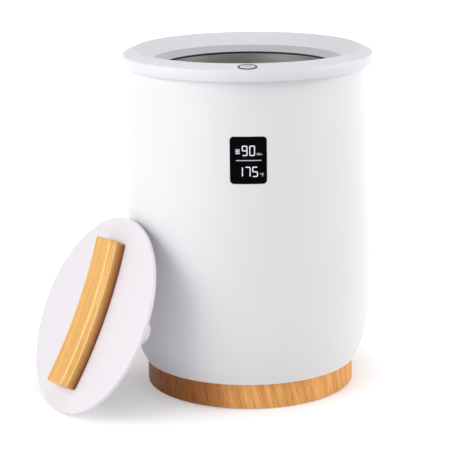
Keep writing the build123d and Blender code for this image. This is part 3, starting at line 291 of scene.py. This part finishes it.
def make_wood_grain():
    """Lacquered wood whose grain runs along Y: broad tones, dark streaks, pores and fibres."""
    group, given, out = new_effect("wood_grain", {
        "Vector": "vector", "Light": "colour", "Middle": "colour", "Dark": "colour",
        "Streak scale": "number", "Streaks": "number", "Roughness": "number", "Depth": "number",
    })
    streak = vector_maths(group, "MULTIPLY", given["Vector"], GRAIN_STRETCH)
    broad_scale = maths(group, "MULTIPLY", given["Streak scale"], 0.2)
    broad = noise(group, streak, broad_scale, detail=3.0, roughness=0.55)
    bands = noise(group, streak, given["Streak scale"], detail=4.0, roughness=0.6, distortion=0.2)
    fibre_scale = maths(group, "MULTIPLY", given["Streak scale"], 5.0)
    fibres = noise(group, streak, fibre_scale, detail=3.0, roughness=0.7)
    tones = mix_colours(group, spread(group, broad, 0.34, 0.66), given["Light"], given["Middle"])
    lines = maths(group, "MULTIPLY", spread(group, bands, 0.52, 0.72), given["Streaks"])
    streaked = mix_colours(group, lines, tones, given["Dark"])
    fibre_shade = spread(group, fibres, 0.35, 0.65, 0.90, 1.06)
    feed(group, out["Color"], vector_maths(group, "SCALE", streaked, scale=fibre_shade))
    rough = maths(group, "MULTIPLY_ADD", bands, 0.12, given["Roughness"])
    feed(group, out["Roughness"], rough)
    relief = maths(group, "MULTIPLY_ADD", fibres, 0.5, maths(group, "MULTIPLY", lines, -1.0))
    feed(group, out["Normal"], bumped(group, relief, given["Depth"]))
    return group


def make_brushed_metal():
    """Metal with fine parallel marks along Y, slow stains and uneven gloss."""
    group, given, out = new_effect("brushed_metal", {
        "Vector": "vector", "Color": "colour", "Mark scale": "number", "Roughness": "number",
        "Depth": "number",
    })
    drawn = vector_maths(group, "MULTIPLY", given["Vector"], BRUSH_STRETCH)
    marks = noise(group, drawn, given["Mark scale"], detail=4.0, roughness=0.7)
    stains = noise(group, given["Vector"], 30.0, detail=3.0)
    mark_tone = spread(group, marks, 0.3, 0.7, -0.07, 0.07)
    stain_tone = spread(group, stains, 0.3, 0.7, 0.95, 1.05)
    tone = maths(group, "ADD", mark_tone, stain_tone)
    feed(group, out["Color"], vector_maths(group, "SCALE", given["Color"], scale=tone))
    uneven = maths(group, "SUBTRACT", marks, 0.5)
    feed(group, out["Roughness"], maths(group, "MULTIPLY_ADD", uneven, 0.25, given["Roughness"]))
    feed(group, out["Normal"], bumped(group, marks, given["Depth"]))
    return group


def make_matted_fibre():
    """Felt or foam: tangled fibres or open cells with specks of lighter and darker colour."""
    group, given, out = new_effect("matted_fibre", {
        "Vector": "vector", "Color": "colour", "Scale": "number", "Depth": "number",
    })
    tangle = noise(group, given["Vector"], given["Scale"], detail=5.0, roughness=0.75, distortion=1.2)
    clumps = noise(group, given["Vector"], 90.0, detail=2.0)
    tangle_tone = spread(group, tangle, 0.3, 0.7, -0.16, 0.16)
    clump_tone = spread(group, clumps, 0.3, 0.7, 0.94, 1.06)
    tone = maths(group, "ADD", tangle_tone, clump_tone)
    feed(group, out["Color"], vector_maths(group, "SCALE", given["Color"], scale=tone))
    feed(group, out["Roughness"], spread(group, tangle, 0.3, 0.7, 0.82, 0.98))
    feed(group, out["Normal"], bumped(group, tangle, given["Depth"]))
    return group


EFFECTS = {
    "moulded_skin": make_moulded_skin(),
    "wood_grain": make_wood_grain(),
    "brushed_metal": make_brushed_metal(),
    "matted_fibre": make_matted_fibre(),
}


def new_finish(name, effect, vector, settings, shader_settings):
    """A material whose Principled shader takes its colour, roughness and normal from an effect."""
    material = bpy.data.materials.new(name)
    material.use_nodes = True
    tree = material.node_tree
    shader = tree.nodes["Principled BSDF"]
    group = tree.nodes.new("ShaderNodeGroup")
    group.node_tree = EFFECTS[effect]
    feed(tree, group.inputs["Vector"], vector(tree))
    for label, value in settings.items():
        feed(tree, group.inputs[label], value)
    for label, socket in (("Color", "Base Color"), ("Roughness", "Roughness"), ("Normal", "Normal")):
        tree.links.new(group.outputs[label], shader.inputs[socket])
    for label, value in shader_settings.items():
        shader.inputs[label].default_value = value
    return material


def moulded(name, colour, roughness, skin_scale=900.0, skin_depth=0.00002, uneven=1.0, specular=0.5):
    settings = {
        "Color": (*colour, 1), "Tone spread": 0.06 * uneven, "Roughness": roughness,
        "Roughness spread": 0.16 * uneven, "Skin scale": skin_scale, "Skin depth": skin_depth,
    }
    return new_finish(name, "moulded_skin", object_coordinates, settings, {"Specular IOR Level": specular})


def metal(name, colour, roughness, mark_scale=1400.0, vector=object_coordinates):
    settings = {"Color": (*colour, 1), "Mark scale": mark_scale, "Roughness": roughness, "Depth": 0.00002}
    return new_finish(name, "brushed_metal", vector, settings, {"Metallic": 1.0})


def fibrous(name, colour, scale, depth):
    settings = {"Color": (*colour, 1), "Scale": scale, "Depth": depth}
    return new_finish(name, "matted_fibre", object_coordinates, settings, {"Sheen Weight": 0.2})


def finish_parts(material):
    """A finish's node tree, its shader and the colour that its effect puts out."""
    tree = material.node_tree
    shader = tree.nodes["Principled BSDF"]
    return tree, shader, shader.inputs["Base Color"].links[0].from_socket


# ---------------------------------------------------------------- coordinates for the grain
def ring_grain(tree):
    """Upright grain round the base ring, leaning a little, and stirred up round the burl."""
    place = object_coordinates(tree)
    height = split(tree, place)[2]
    lean = tree.nodes.new("ShaderNodeVectorRotate")
    lean.rotation_type = "Z_AXIS"
    feed(tree, lean.inputs["Vector"], place)
    feed(tree, lean.inputs["Angle"], maths(tree, "MULTIPLY", height, math.tan(RING_TILT) / RING_RADIUS))
    turned_x, turned_y, turned_z = split(tree, lean.outputs["Vector"])
    stir = vector_maths(
        tree, "SUBTRACT", noise(tree, place, 60.0, detail=3.0, output="Color"), (0.5, 0.5, 0.5)
    )
    burl = burl_mask(tree, place)
    stirred = vector_maths(tree, "SCALE", stir, scale=maths(tree, "MULTIPLY", burl, 0.035))
    return vector_maths(tree, "ADD", joined(tree, turned_x, turned_z, turned_y), stirred)


def reach_mask(tree, place, centre, inner, outer):
    """1 within the inner distance of a centre, falling to 0 at the outer one."""
    offset = vector_maths(tree, "SUBTRACT", place, centre)
    length = tree.nodes.new("ShaderNodeVectorMath")
    length.operation = "LENGTH"
    feed(tree, length.inputs[0], offset)
    return falling(tree, length.outputs["Value"], inner, outer)


def burl_mask(tree, place):
    """1 at the burl on the left of the base ring, falling to 0 at its reach."""
    return reach_mask(tree, place, BURL_PLACE, BURL_REACH * 0.35, BURL_REACH)


def lid_axes():
    """The lid's own X, Y and normal, in the bucket's axes."""
    normal = Vector((
        math.cos(LID_LEAN) * math.cos(LID_FACING),
        math.cos(LID_LEAN) * math.sin(LID_FACING),
        math.sin(LID_LEAN),
    ))
    level = Vector((-math.sin(LID_FACING), math.cos(LID_FACING), 0))
    uphill = normal.cross(level)
    across = level * math.cos(LID_SPIN) + uphill * math.sin(LID_SPIN)
    along = uphill * math.cos(LID_SPIN) - level * math.sin(LID_SPIN)
    return across, along, normal


def lid_coordinates(tree):
    """Place on the lid along its own X, Y and normal."""
    to_lid = Matrix(lid_axes())
    mapping = tree.nodes.new("ShaderNodeMapping")
    mapping.inputs["Location"].default_value = -(to_lid @ LID_CENTRE)
    mapping.inputs["Rotation"].default_value = to_lid.to_euler("XYZ")
    feed(tree, mapping.inputs["Vector"], object_coordinates(tree))
    return mapping.outputs["Vector"]


def handle_grain(tree):
    """Grain along the handle, bent as the handle is."""
    x, y, z = split(tree, lid_coordinates(tree))
    share = maths(tree, "DIVIDE", y, HANDLE_LENGTH / 2)
    bow = maths(tree, "MULTIPLY_ADD", maths(tree, "MULTIPLY", share, share), -HANDLE_BOW, HANDLE_BOW)
    return joined(tree, maths(tree, "SUBTRACT", x, bow), y, z)


def round_marks(tree):
    """Marks that run round the bucket's axis, for the spun tub."""
    x, y, z = split(tree, object_coordinates(tree))
    angle = maths(tree, "MULTIPLY", maths(tree, "ARCTAN2", x, y), RING_RADIUS)
    return joined(tree, z, angle, distance_from_axis(tree, x, y))


# ---------------------------------------------------------------- finishes
def base_ring_wood():
    """Warm wood with upright streaks and a dark burl with curls and pin knots on the left."""
    material = new_finish("base_ring_wood", "wood_grain", ring_grain, {
        "Light": (0.97, 0.50, 0.160, 1), "Middle": (0.78, 0.345, 0.092, 1), "Dark": (0.38, 0.125, 0.028, 1),
        "Streak scale": 640.0, "Streaks": 0.66, "Roughness": 0.42, "Depth": 0.00010,
    }, {"Specular IOR Level": 0.20})
    tree, shader, grain = finish_parts(material)
    place = object_coordinates(tree)
    burl = burl_mask(tree, place)

    # the wood grows browner towards the burl, with dark patches on it
    brown = reach_mask(tree, place, BURL_PLACE, BROWN_INNER, BROWN_OUTER)
    toned = mix_colours(tree, brown, grain, tinted(tree, grain, (0.50, 0.36, 0.30)))
    patches = maths(tree, "MULTIPLY", spread(tree, noise(tree, place, 55.0, detail=3.0), 0.40, 0.62), burl)
    browned = mix_colours(tree, maths(tree, "MULTIPLY", patches, 0.45), toned, (0.42, 0.165, 0.045, 1))

    # pin knots, pushed off their grid
    push = vector_maths(tree, "SCALE", noise(tree, place, 120.0, output="Color"), scale=0.004)
    pins = tree.nodes.new("ShaderNodeTexVoronoi")
    pins.inputs["Scale"].default_value = 210.0
    feed(tree, pins.inputs["Vector"], vector_maths(tree, "ADD", place, push))
    knots = maths(tree, "MULTIPLY", falling(tree, pins.outputs["Distance"], 0.16, 0.42), burl)
    knotted = mix_colours(tree, maths(tree, "MULTIPLY", knots, 0.75), browned, (0.10, 0.032, 0.010, 1))
    feed(tree, shader.inputs["Base Color"], knotted)
    return material


def handle_wood():
    """Honey-coloured wood with fine grain along it, with painted shade on its sides and at its foot and
    painted highlights on its long edges.
    """
    material = new_finish("handle_wood", "wood_grain", handle_grain, {
        "Light": (0.87, 0.49, 0.120, 1), "Middle": (0.76, 0.370, 0.066, 1), "Dark": (0.55, 0.20, 0.030, 1),
        "Streak scale": 620.0, "Streaks": 0.60, "Roughness": 0.33, "Depth": 0.00005,
    }, {"Coat Weight": 0.1, "Coat Roughness": 0.15})
    tree, shader, grain = finish_parts(material)
    x, _, height = split(tree, handle_grain(tree))
    shoulder = HANDLE_HEIGHT - HANDLE_CHAMFER

    # painted shade: the sides are darkened and reddened towards the foot, and darkest in a painted shade
    # line at the foot
    depth = spread(tree, height, 0.0, shoulder, 0.85, 0.25)
    sides = falling(tree, height, shoulder - 0.1 * HANDLE_CHAMFER, shoulder)
    side_shade_colour = tinted(tree, grain, (0.62, 0.40, 0.34))
    side_shaded = mix_colours(tree, maths(tree, "MULTIPLY", depth, sides), grain, side_shade_colour)
    # painted shade line along the foot, where the handle meets the lid
    foot_shade = falling(tree, height, HANDLE_FOOT_SHADE_START, HANDLE_FOOT_SHADE_END)
    foot_shaded = mix_colours(tree, foot_shade, side_shaded, tinted(tree, side_shaded, (0.50, 0.28, 0.22)))

    # painted highlights along both long edges of each cut corner
    aside = maths(tree, "ABSOLUTE", maths(tree, "SUBTRACT", x, HANDLE_OFFSET))
    section = joined(tree, aside, 0.0, height)
    side = HANDLE_WIDTH / 2
    upper_edge, lower_edge = (
        reach_mask(tree, section, line, EDGE_HIGHLIGHT_INNER, EDGE_HIGHLIGHT_OUTER)
        for line in ((side - HANDLE_CHAMFER, 0, HANDLE_HEIGHT), (side, 0, shoulder))
    )
    # painted highlight colour laid over the edge lines
    edge_highlight = maths(tree, "MULTIPLY", maths(tree, "MAXIMUM", upper_edge, lower_edge), 0.75)
    feed(tree, shader.inputs["Base Color"], mix_colours(tree, edge_highlight, foot_shaded, (0.97, 0.70, 0.34, 1)))
    return material


def rim_plastic():
    """Pale plastic with painted shade: darker below the funnel's step, and the lip's edge painted as dark
    as the shade inside the tub.
    """
    material = moulded("rim_plastic", (0.80, 0.79, 0.835), 0.36, 1100.0, 0.000008, 0.35, 0.3)
    tree, shader, pale = finish_parts(material)
    x, y, height = split(tree, object_coordinates(tree))
    radius = distance_from_axis(tree, x, y)
    # painted shade: the slope below the funnel's step is darkened, and the lip's inner edge is painted near
    # black as the shade inside the tub
    step_shade_mask = maths(
        tree, "MULTIPLY",
        falling(tree, height, STEP_HEIGHT - 0.2 * MM, STEP_HEIGHT + 0.2 * MM),
        falling(tree, radius, STEP_RADIUS - 0.2 * MM, STEP_RADIUS + 0.4 * MM),
    )
    lip_shade_mask = maths(
        tree, "MULTIPLY",
        falling(tree, height, LIP_HEIGHT - 0.7 * MM, LIP_HEIGHT - 0.2 * MM),
        falling(tree, radius, LIP_RADIUS + 0.8 * MM, LIP_RADIUS + 1.2 * MM),
    )
    # painted shade below the step, then the painted dark lip edge
    toned = mix_colours(tree, step_shade_mask, pale, tinted(tree, pale, (0.70, 0.69, 0.70)))
    feed(tree, shader.inputs["Base Color"], mix_colours(tree, lip_shade_mask, toned, (0.035, 0.033, 0.031, 1)))
    return material


def heater_foil():
    """Amber film over foil, with its marks running round the tub."""
    material = metal("heater_foil", (0.62, 0.34, 0.10), 0.35, 700.0, round_marks)
    material.node_tree.nodes["Principled BSDF"].inputs["Coat Weight"].default_value = 0.6
    return material


# colour, roughness, then the skin's scale, its depth, how uneven it is, and the gloss
MOULDED = {
    "white_plastic": ((0.83, 0.83, 0.85), 0.36, 1100.0, 0.000008, 0.35, 0.3),
    "lid_plastic": ((0.81, 0.775, 0.82), 0.46, 1300.0, 0.000012, 0.35),
    "window_black": ((0.001, 0.001, 0.0015), 0.22, 300.0, 0.000002, 0.3, 0.02),
    "dark_trim": ((0.055, 0.055, 0.07), 0.22, 900.0, 0.00001),
    "button_plastic": ((0.72, 0.73, 0.76), 0.38, 1400.0, 0.00001),
    "black_plastic": ((0.022, 0.022, 0.024), 0.52, 1500.0, 0.00005),
    "black_rubber": ((0.020, 0.020, 0.020), 0.82, 2200.0, 0.00008),
    "silicone_grey": ((0.50, 0.50, 0.52), 0.62, 1600.0, 0.00003),
    "board_green": ((0.018, 0.14, 0.055), 0.40, 700.0, 0.00003),
    "relay_blue": ((0.03, 0.11, 0.38), 0.42, 1500.0, 0.00003),
    "wire_sleeve": ((0.05, 0.05, 0.055), 0.58, 1800.0, 0.00006),
}
# colour, roughness, the scale of the marks and the way that they run
METALS = {
    "dark_tub": ((0.43, 0.42, 0.395), 0.42, 500.0, round_marks),
    "bright_metal": ((0.72, 0.72, 0.74), 0.26),
    "shield_metal": ((0.66, 0.66, 0.68), 0.34, 900.0),
    "screw_steel": ((0.52, 0.53, 0.56), 0.32, 2600.0),
    "insert_brass": ((0.72, 0.50, 0.20), 0.30, 2200.0),
}
# colour, and the scale and depth of the fibres
FIBRES = {
    "felt": ((0.62, 0.60, 0.56), 1500.0, 0.0004),
    "foam": ((0.78, 0.77, 0.73), 2400.0, 0.0003),
}
FINISHES = {"wood_brown": base_ring_wood(), "wood_honey": handle_wood(), "heater_foil": heater_foil()}
for make, table in ((moulded, MOULDED), (metal, METALS), (fibrous, FIBRES)):
    for name, values in table.items():
        FINISHES[name] = make(name, *values)

RIM_PLASTIC = rim_plastic()
for subpart in frame["record"]["subparts"]:
    node = nodes[subpart["node"]]
    finish = RIM_PLASTIC if subpart["node"] == "rim_collar" else FINISHES[subpart["material_slot"]]
    node.data.materials.clear()
    node.data.materials.append(finish)


# ---------------------------------------------------------------- marks on the display and the cap
def new_piece(name, bm, material, body):
    """A finished piece from a bmesh, which rides on a body."""
    bmesh.ops.recalc_face_normals(bm, faces=bm.faces)
    mesh = bpy.data.meshes.new(name)
    bm.to_mesh(mesh)
    bm.free()
    mesh.materials.append(material)
    piece = bpy.data.objects.new(name, mesh)
    bpy.context.scene.collection.objects.link(piece)
    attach(piece, body)
    return piece


def add_bar(bm, centre, length, thickness, upright=False, point=0.45, pieces=1):
    """A flat bar with cut corners, centred on a point of the XY plane."""
    turn = Matrix.Rotation(math.pi / 2 if upright else 0.0, 4, "Z")
    matrix = Matrix.Translation((*centre, 0)) @ turn @ Matrix.Diagonal((length, thickness, 1, 1))
    made = bmesh.ops.create_grid(bm, x_segments=pieces, y_segments=1, size=0.5, matrix=matrix)
    corners = [v for v in made["verts"] if len(v.link_edges) == 2]
    bmesh.ops.bevel(
        bm, geom=corners, offset=thickness * point, affect="VERTICES", segments=1, profile=0.5, material=-1
    )


def add_digit(bm, digit, centre):
    """A seven-segment digit."""
    side, quarter = DIGIT_WIDTH / 2, DIGIT_HEIGHT / 4
    places = {
        "a": (0, 2 * quarter, False), "b": (side, quarter, True), "c": (side, -quarter, True),
        "d": (0, -2 * quarter, False), "e": (-side, -quarter, True), "f": (-side, quarter, True),
        "g": (0, 0, False),
    }
    for letter in SEGMENTS[digit]:
        x, y, upright = places[letter]
        length = (DIGIT_HEIGHT / 2 if upright else DIGIT_WIDTH) + DIGIT_STROKE * 0.05
        add_bar(bm, (centre[0] + x, centre[1] + y), length, DIGIT_STROKE, upright)


def text_outline(words, width):
    """Plain letters as a flat mesh in the XY plane, centred and scaled to a width."""
    data = bpy.data.curves.new(words, "FONT")
    data.body = words
    data.align_x = "CENTER"
    data.align_y = "CENTER"
    data.offset = 0.012
    data.resolution_u = 3
    holder = bpy.data.objects.new(words, data)
    bpy.context.scene.collection.objects.link(holder)
    bpy.context.view_layer.update()
    mesh = bpy.data.meshes.new_from_object(holder)
    bpy.data.objects.remove(holder)
    bpy.data.curves.remove(data)
    bm = bmesh.new()
    bm.from_mesh(mesh)
    bpy.data.meshes.remove(mesh)
    xs = [v.co.x for v in bm.verts]
    ys = [v.co.y for v in bm.verts]
    middle = Vector(((min(xs) + max(xs)) / 2, (min(ys) + max(ys)) / 2, 0))
    bmesh.ops.translate(bm, verts=bm.verts, vec=-middle)
    bmesh.ops.scale(bm, verts=bm.verts, vec=Vector((1, 1, 1)) * (width / (max(xs) - min(xs))))
    return bm


def add_words(bm, words, width, centre):
    """Letters laid into another flat mesh."""
    letters = text_outline(words, width)
    bmesh.ops.translate(letters, verts=letters.verts, vec=Vector((*centre, 0)))
    mesh = bpy.data.meshes.new("letters")
    letters.to_mesh(mesh)
    letters.free()
    bm.from_mesh(mesh)
    bpy.data.meshes.remove(mesh)


def thicken(bm, depth):
    """Give a flat mesh in the XY plane a thickness upwards."""
    bmesh.ops.remove_doubles(bm, verts=bm.verts, dist=1e-6)
    bmesh.ops.solidify(bm, geom=bm.faces, thickness=depth)
    low = min(v.co.z for v in bm.verts)
    bmesh.ops.translate(bm, verts=bm.verts, vec=(0, 0, -low))


def lay_on_window(bm):
    """Stand a flat mesh up in front of the display window and press it against the curved lens."""
    thicken(bm, MARK_DEPTH)
    window = nodes["display_window"]
    for vertex in bm.verts:
        x, y, depth = vertex.co
        far_in_front = Vector((x, -1, WINDOW_HEIGHT + y))
        _, place, _, _ = window.ray_cast(far_in_front, Vector((0, 1, 0)))
        vertex.co = (x, place.y - MARK_LIFT - depth, WINDOW_HEIGHT + y)


def light_mark(name, tint, strength):
    """White light through the lens, a little uneven from mark to mark."""
    material = moulded(name, [part * 0.55 for part in tint], 0.5, 800.0, 0.00001)
    tree, shader, _ = finish_parts(material)
    glow = noise(tree, object_coordinates(tree), 400.0, detail=1.0)
    level = spread(tree, glow, 0.3, 0.7, 0.93, 1.0)
    colour = vector_maths(tree, "SCALE", tint, scale=level)
    feed(tree, shader.inputs["Emission Color"], colour)
    shader.inputs["Emission Strength"].default_value = strength
    return material


def make_display_marks():
    """Two lines of digits with their units, the divider between them and a small stack of bars."""
    bright = light_mark("display_light", (0.93, 0.94, 1.0), BRIGHT_GLOW)
    dim = light_mark("display_dim_light", (0.85, 0.87, 1.0), DIM_GLOW)

    bm = bmesh.new()
    for digit, x, y in DIGIT_PLACES:
        add_digit(bm, digit, (x * MM, y * MM))
    lay_on_window(bm)
    new_piece("display_digits", bm, bright, "bucket")

    bm = bmesh.new()
    add_bar(bm, DIVIDER_PLACE, *DIVIDER_BAR, pieces=14)  # in pieces, so that it bends with the window
    lay_on_window(bm)
    new_piece("display_divider", bm, dim, "bucket")

    bm = bmesh.new()
    for x, y in ICON_PLACES:
        add_bar(bm, (x * MM, y * MM), *ICON_BAR, point=0.3)
    lay_on_window(bm)
    new_piece("display_towel_icon", bm, dim, "bucket")

    bm = bmesh.new()
    for words, width, x, y in UNIT_PLACES:
        add_words(bm, words, width * MM, (x * MM, y * MM))
    lay_on_window(bm)
    new_piece("display_units", bm, dim, "bucket")


def make_button_label():
    """ON/OFF in small grey letters on the cap."""
    bm = text_outline("ON/OFF", LABEL_WIDTH)
    thicken(bm, MARK_DEPTH)
    bmesh.ops.translate(bm, verts=bm.verts, vec=(0, 0, CAP_TOP + LABEL_LIFT))
    stand = Matrix.Translation(BUTTON_PLACE) @ Matrix.Rotation(BUTTON_SLOPE, 4, "X")
    bmesh.ops.transform(bm, matrix=stand, verts=bm.verts)
    ink = moulded("button_ink", (0.16, 0.16, 0.19), 0.5)
    new_piece("button_label", bm, ink, "button")


# ---------------------------------------------------------------- the lid's handle
def handle_section(bm):
    """The handle's section in the XZ plane: flat foot, chamfered top and softened edges."""
    side, top = HANDLE_WIDTH / 2, HANDLE_HEIGHT
    shoulder, flat = top - HANDLE_CHAMFER, side - HANDLE_CHAMFER
    places = [(-side, 0), (-side, shoulder), (-flat, top), (flat, top), (side, shoulder), (side, 0)]
    corners = [bm.verts.new((x, 0, z)) for x, z in places]
    bm.faces.new(corners)
    bmesh.ops.bevel(
        bm, geom=corners[1:-1], offset=HANDLE_SOFT_EDGE, affect="VERTICES", segments=4, profile=0.5,
        material=-1,
    )
    return bm.faces[:][0]


def round_off(depth, radius):
    """How far a rounding of this radius stands back at a depth from its end."""
    return radius - math.sqrt(radius**2 - (radius - depth) ** 2) if depth < radius else 0.0


def handle_place(y):
    """Where the section stands at a place along the handle, and how much the ends draw it in."""
    half = HANDLE_LENGTH / 2
    bend = (half**2 + HANDLE_BOW**2) / (2 * HANDLE_BOW)
    bow = math.sqrt(bend**2 - y**2) - (bend - HANDLE_BOW)
    depth = max(half - abs(y), 0.0)
    across = 1 - round_off(depth, HANDLE_END_ROUND) / (HANDLE_WIDTH / 2)
    upward = 1 - round_off(depth, HANDLE_END_TOP_ROUND) / HANDLE_HEIGHT
    return Matrix.Translation((HANDLE_OFFSET + bow, y, 0)) @ Matrix.Diagonal((across, 1, upward, 1))


def make_handle():
    """The sanded crescent bar, drawn out section by section along the lid's Y."""
    half = HANDLE_LENGTH / 2
    steps = [HANDLE_END_ROUND * (1 - math.cos(math.radians(angle))) for angle in HANDLE_END_ANGLES]
    straight = half - HANDLE_END_ROUND
    middle = [straight * (2 * index / HANDLE_STATIONS - 1) for index in range(HANDLE_STATIONS + 1)]
    stations = [depth - half for depth in steps] + middle + [half - depth for depth in reversed(steps)]
    bm = bmesh.new()
    caps = [handle_section(bm)]
    bmesh.ops.transform(bm, matrix=handle_place(stations[0]), verts=bm.verts)
    for before, after in zip(stations, stations[1:]):
        made = bmesh.ops.extrude_face_region(bm, geom=caps[-1:], use_keep_orig=True)["geom"]
        move = handle_place(after) @ handle_place(before).inverted()
        bmesh.ops.transform(bm, matrix=move, verts=[g for g in made if isinstance(g, bmesh.types.BMVert)])
        caps.append(next(g for g in made if isinstance(g, bmesh.types.BMFace)))
    # only the two end sections stay as faces
    bmesh.ops.delete(bm, geom=caps[1:-1], context="FACES_ONLY")
    stand = Matrix(lid_axes()).transposed().to_4x4()
    bmesh.ops.transform(bm, matrix=Matrix.Translation(LID_CENTRE) @ stand, verts=bm.verts)
    handle = new_piece("handle_bar", bm, FINISHES["wood_honey"], "lid")
    for face in handle.data.polygons:
        face.use_smooth = True
    handle.modifiers.new("flat_faces", "WEIGHTED_NORMAL")
    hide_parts("lid_handle")


make_display_marks()
make_button_label()
make_handle()
place_camera()


# ---------------------------------------------------------------- light
def seen_by_eye(tree):
    """1 where a ray from the camera or a reflection arrives, and 0 where light is gathered."""
    path = tree.nodes.new("ShaderNodeLightPath").outputs
    seen = maths(tree, "ADD", path["Is Camera Ray"], path["Is Glossy Ray"])
    return maths(tree, "ADD", seen, path["Is Transmission Ray"], clamp=True)


def light_world():
    """A pale room: white where it is seen directly or in a reflection, softer as a light."""
    world = bpy.data.worlds.new("studio")
    bpy.context.scene.world = world
    world.use_nodes = True
    tree = world.node_tree
    background = tree.nodes["Background"]
    background.inputs["Color"].default_value = (1.0, 1.0, 1.0, 1.0)
    upward = split(tree, tree.nodes.new("ShaderNodeTexCoord").outputs["Generated"])[2]
    ambient = spread(tree, upward, 0.15, 0.9, WORLD_AMBIENT, WORLD_OVERHEAD)
    missing = maths(tree, "SUBTRACT", 1.0, ambient)
    strength = maths(tree, "MULTIPLY_ADD", seen_by_eye(tree), missing, ambient)
    feed(tree, background.inputs["Strength"], strength)


def add_softbox(name, azimuth, elevation, distance, size, power):
    """A large soft lamp that points at the bucket."""
    data = bpy.data.lights.new(name, "AREA")
    data.shape = "RECTANGLE"
    data.size, data.size_y = size
    data.energy = power
    lamp = bpy.data.objects.new(name, data)
    bpy.context.scene.collection.objects.link(lamp)
    a, e = math.radians(azimuth), math.radians(elevation)
    offset = Vector((math.sin(a) * math.cos(e), -math.cos(a) * math.cos(e), math.sin(e)))
    lamp.location = SOFTBOX_TARGET + offset * distance
    lamp.rotation_euler = offset.to_track_quat("Z", "Y").to_euler()


light_world()
for name, values in SOFTBOXES.items():
    add_softbox(name, *values)
bpy.context.scene.view_settings.view_transform = "Standard"


# ---------------------------------------------------------------- floor
def make_floor():
    """A pale floor that is white to the eye where no shadow falls."""
    bm = bmesh.new()
    bmesh.ops.create_grid(bm, x_segments=1, y_segments=1, size=FLOOR_HALF_WIDTH)
    mesh = bpy.data.meshes.new("floor")
    bm.to_mesh(mesh)
    bm.free()
    floor = bpy.data.objects.new("floor", mesh)
    bpy.context.scene.collection.objects.link(floor)
    material = bpy.data.materials.new("floor")
    material.use_nodes = True
    tree = material.node_tree
    shader = tree.nodes["Principled BSDF"]
    shader.inputs["Base Color"].default_value = (0.93, 0.93, 0.94, 1)
    shader.inputs["Roughness"].default_value = 0.9
    white = tree.nodes.new("ShaderNodeEmission")
    white.inputs["Strength"].default_value = FLOOR_WHITE
    mixed = tree.nodes.new("ShaderNodeMixShader")
    near = reach_mask(
        tree, object_coordinates(tree), FLOOR_LIT_CENTRE, FLOOR_LIT_INNER, FLOOR_LIT_OUTER
    )
    covered = maths(tree, "MULTIPLY_ADD", near, -FLOOR_LIT, 1.0)
    feed(tree, mixed.inputs[0], maths(tree, "MULTIPLY", seen_by_eye(tree), covered))
    tree.links.new(shader.outputs["BSDF"], mixed.inputs[1])
    tree.links.new(white.outputs["Emission"], mixed.inputs[2])
    tree.links.new(mixed.outputs["Shader"], tree.nodes["Material Output"].inputs["Surface"])
    mesh.materials.append(material)


make_floor()
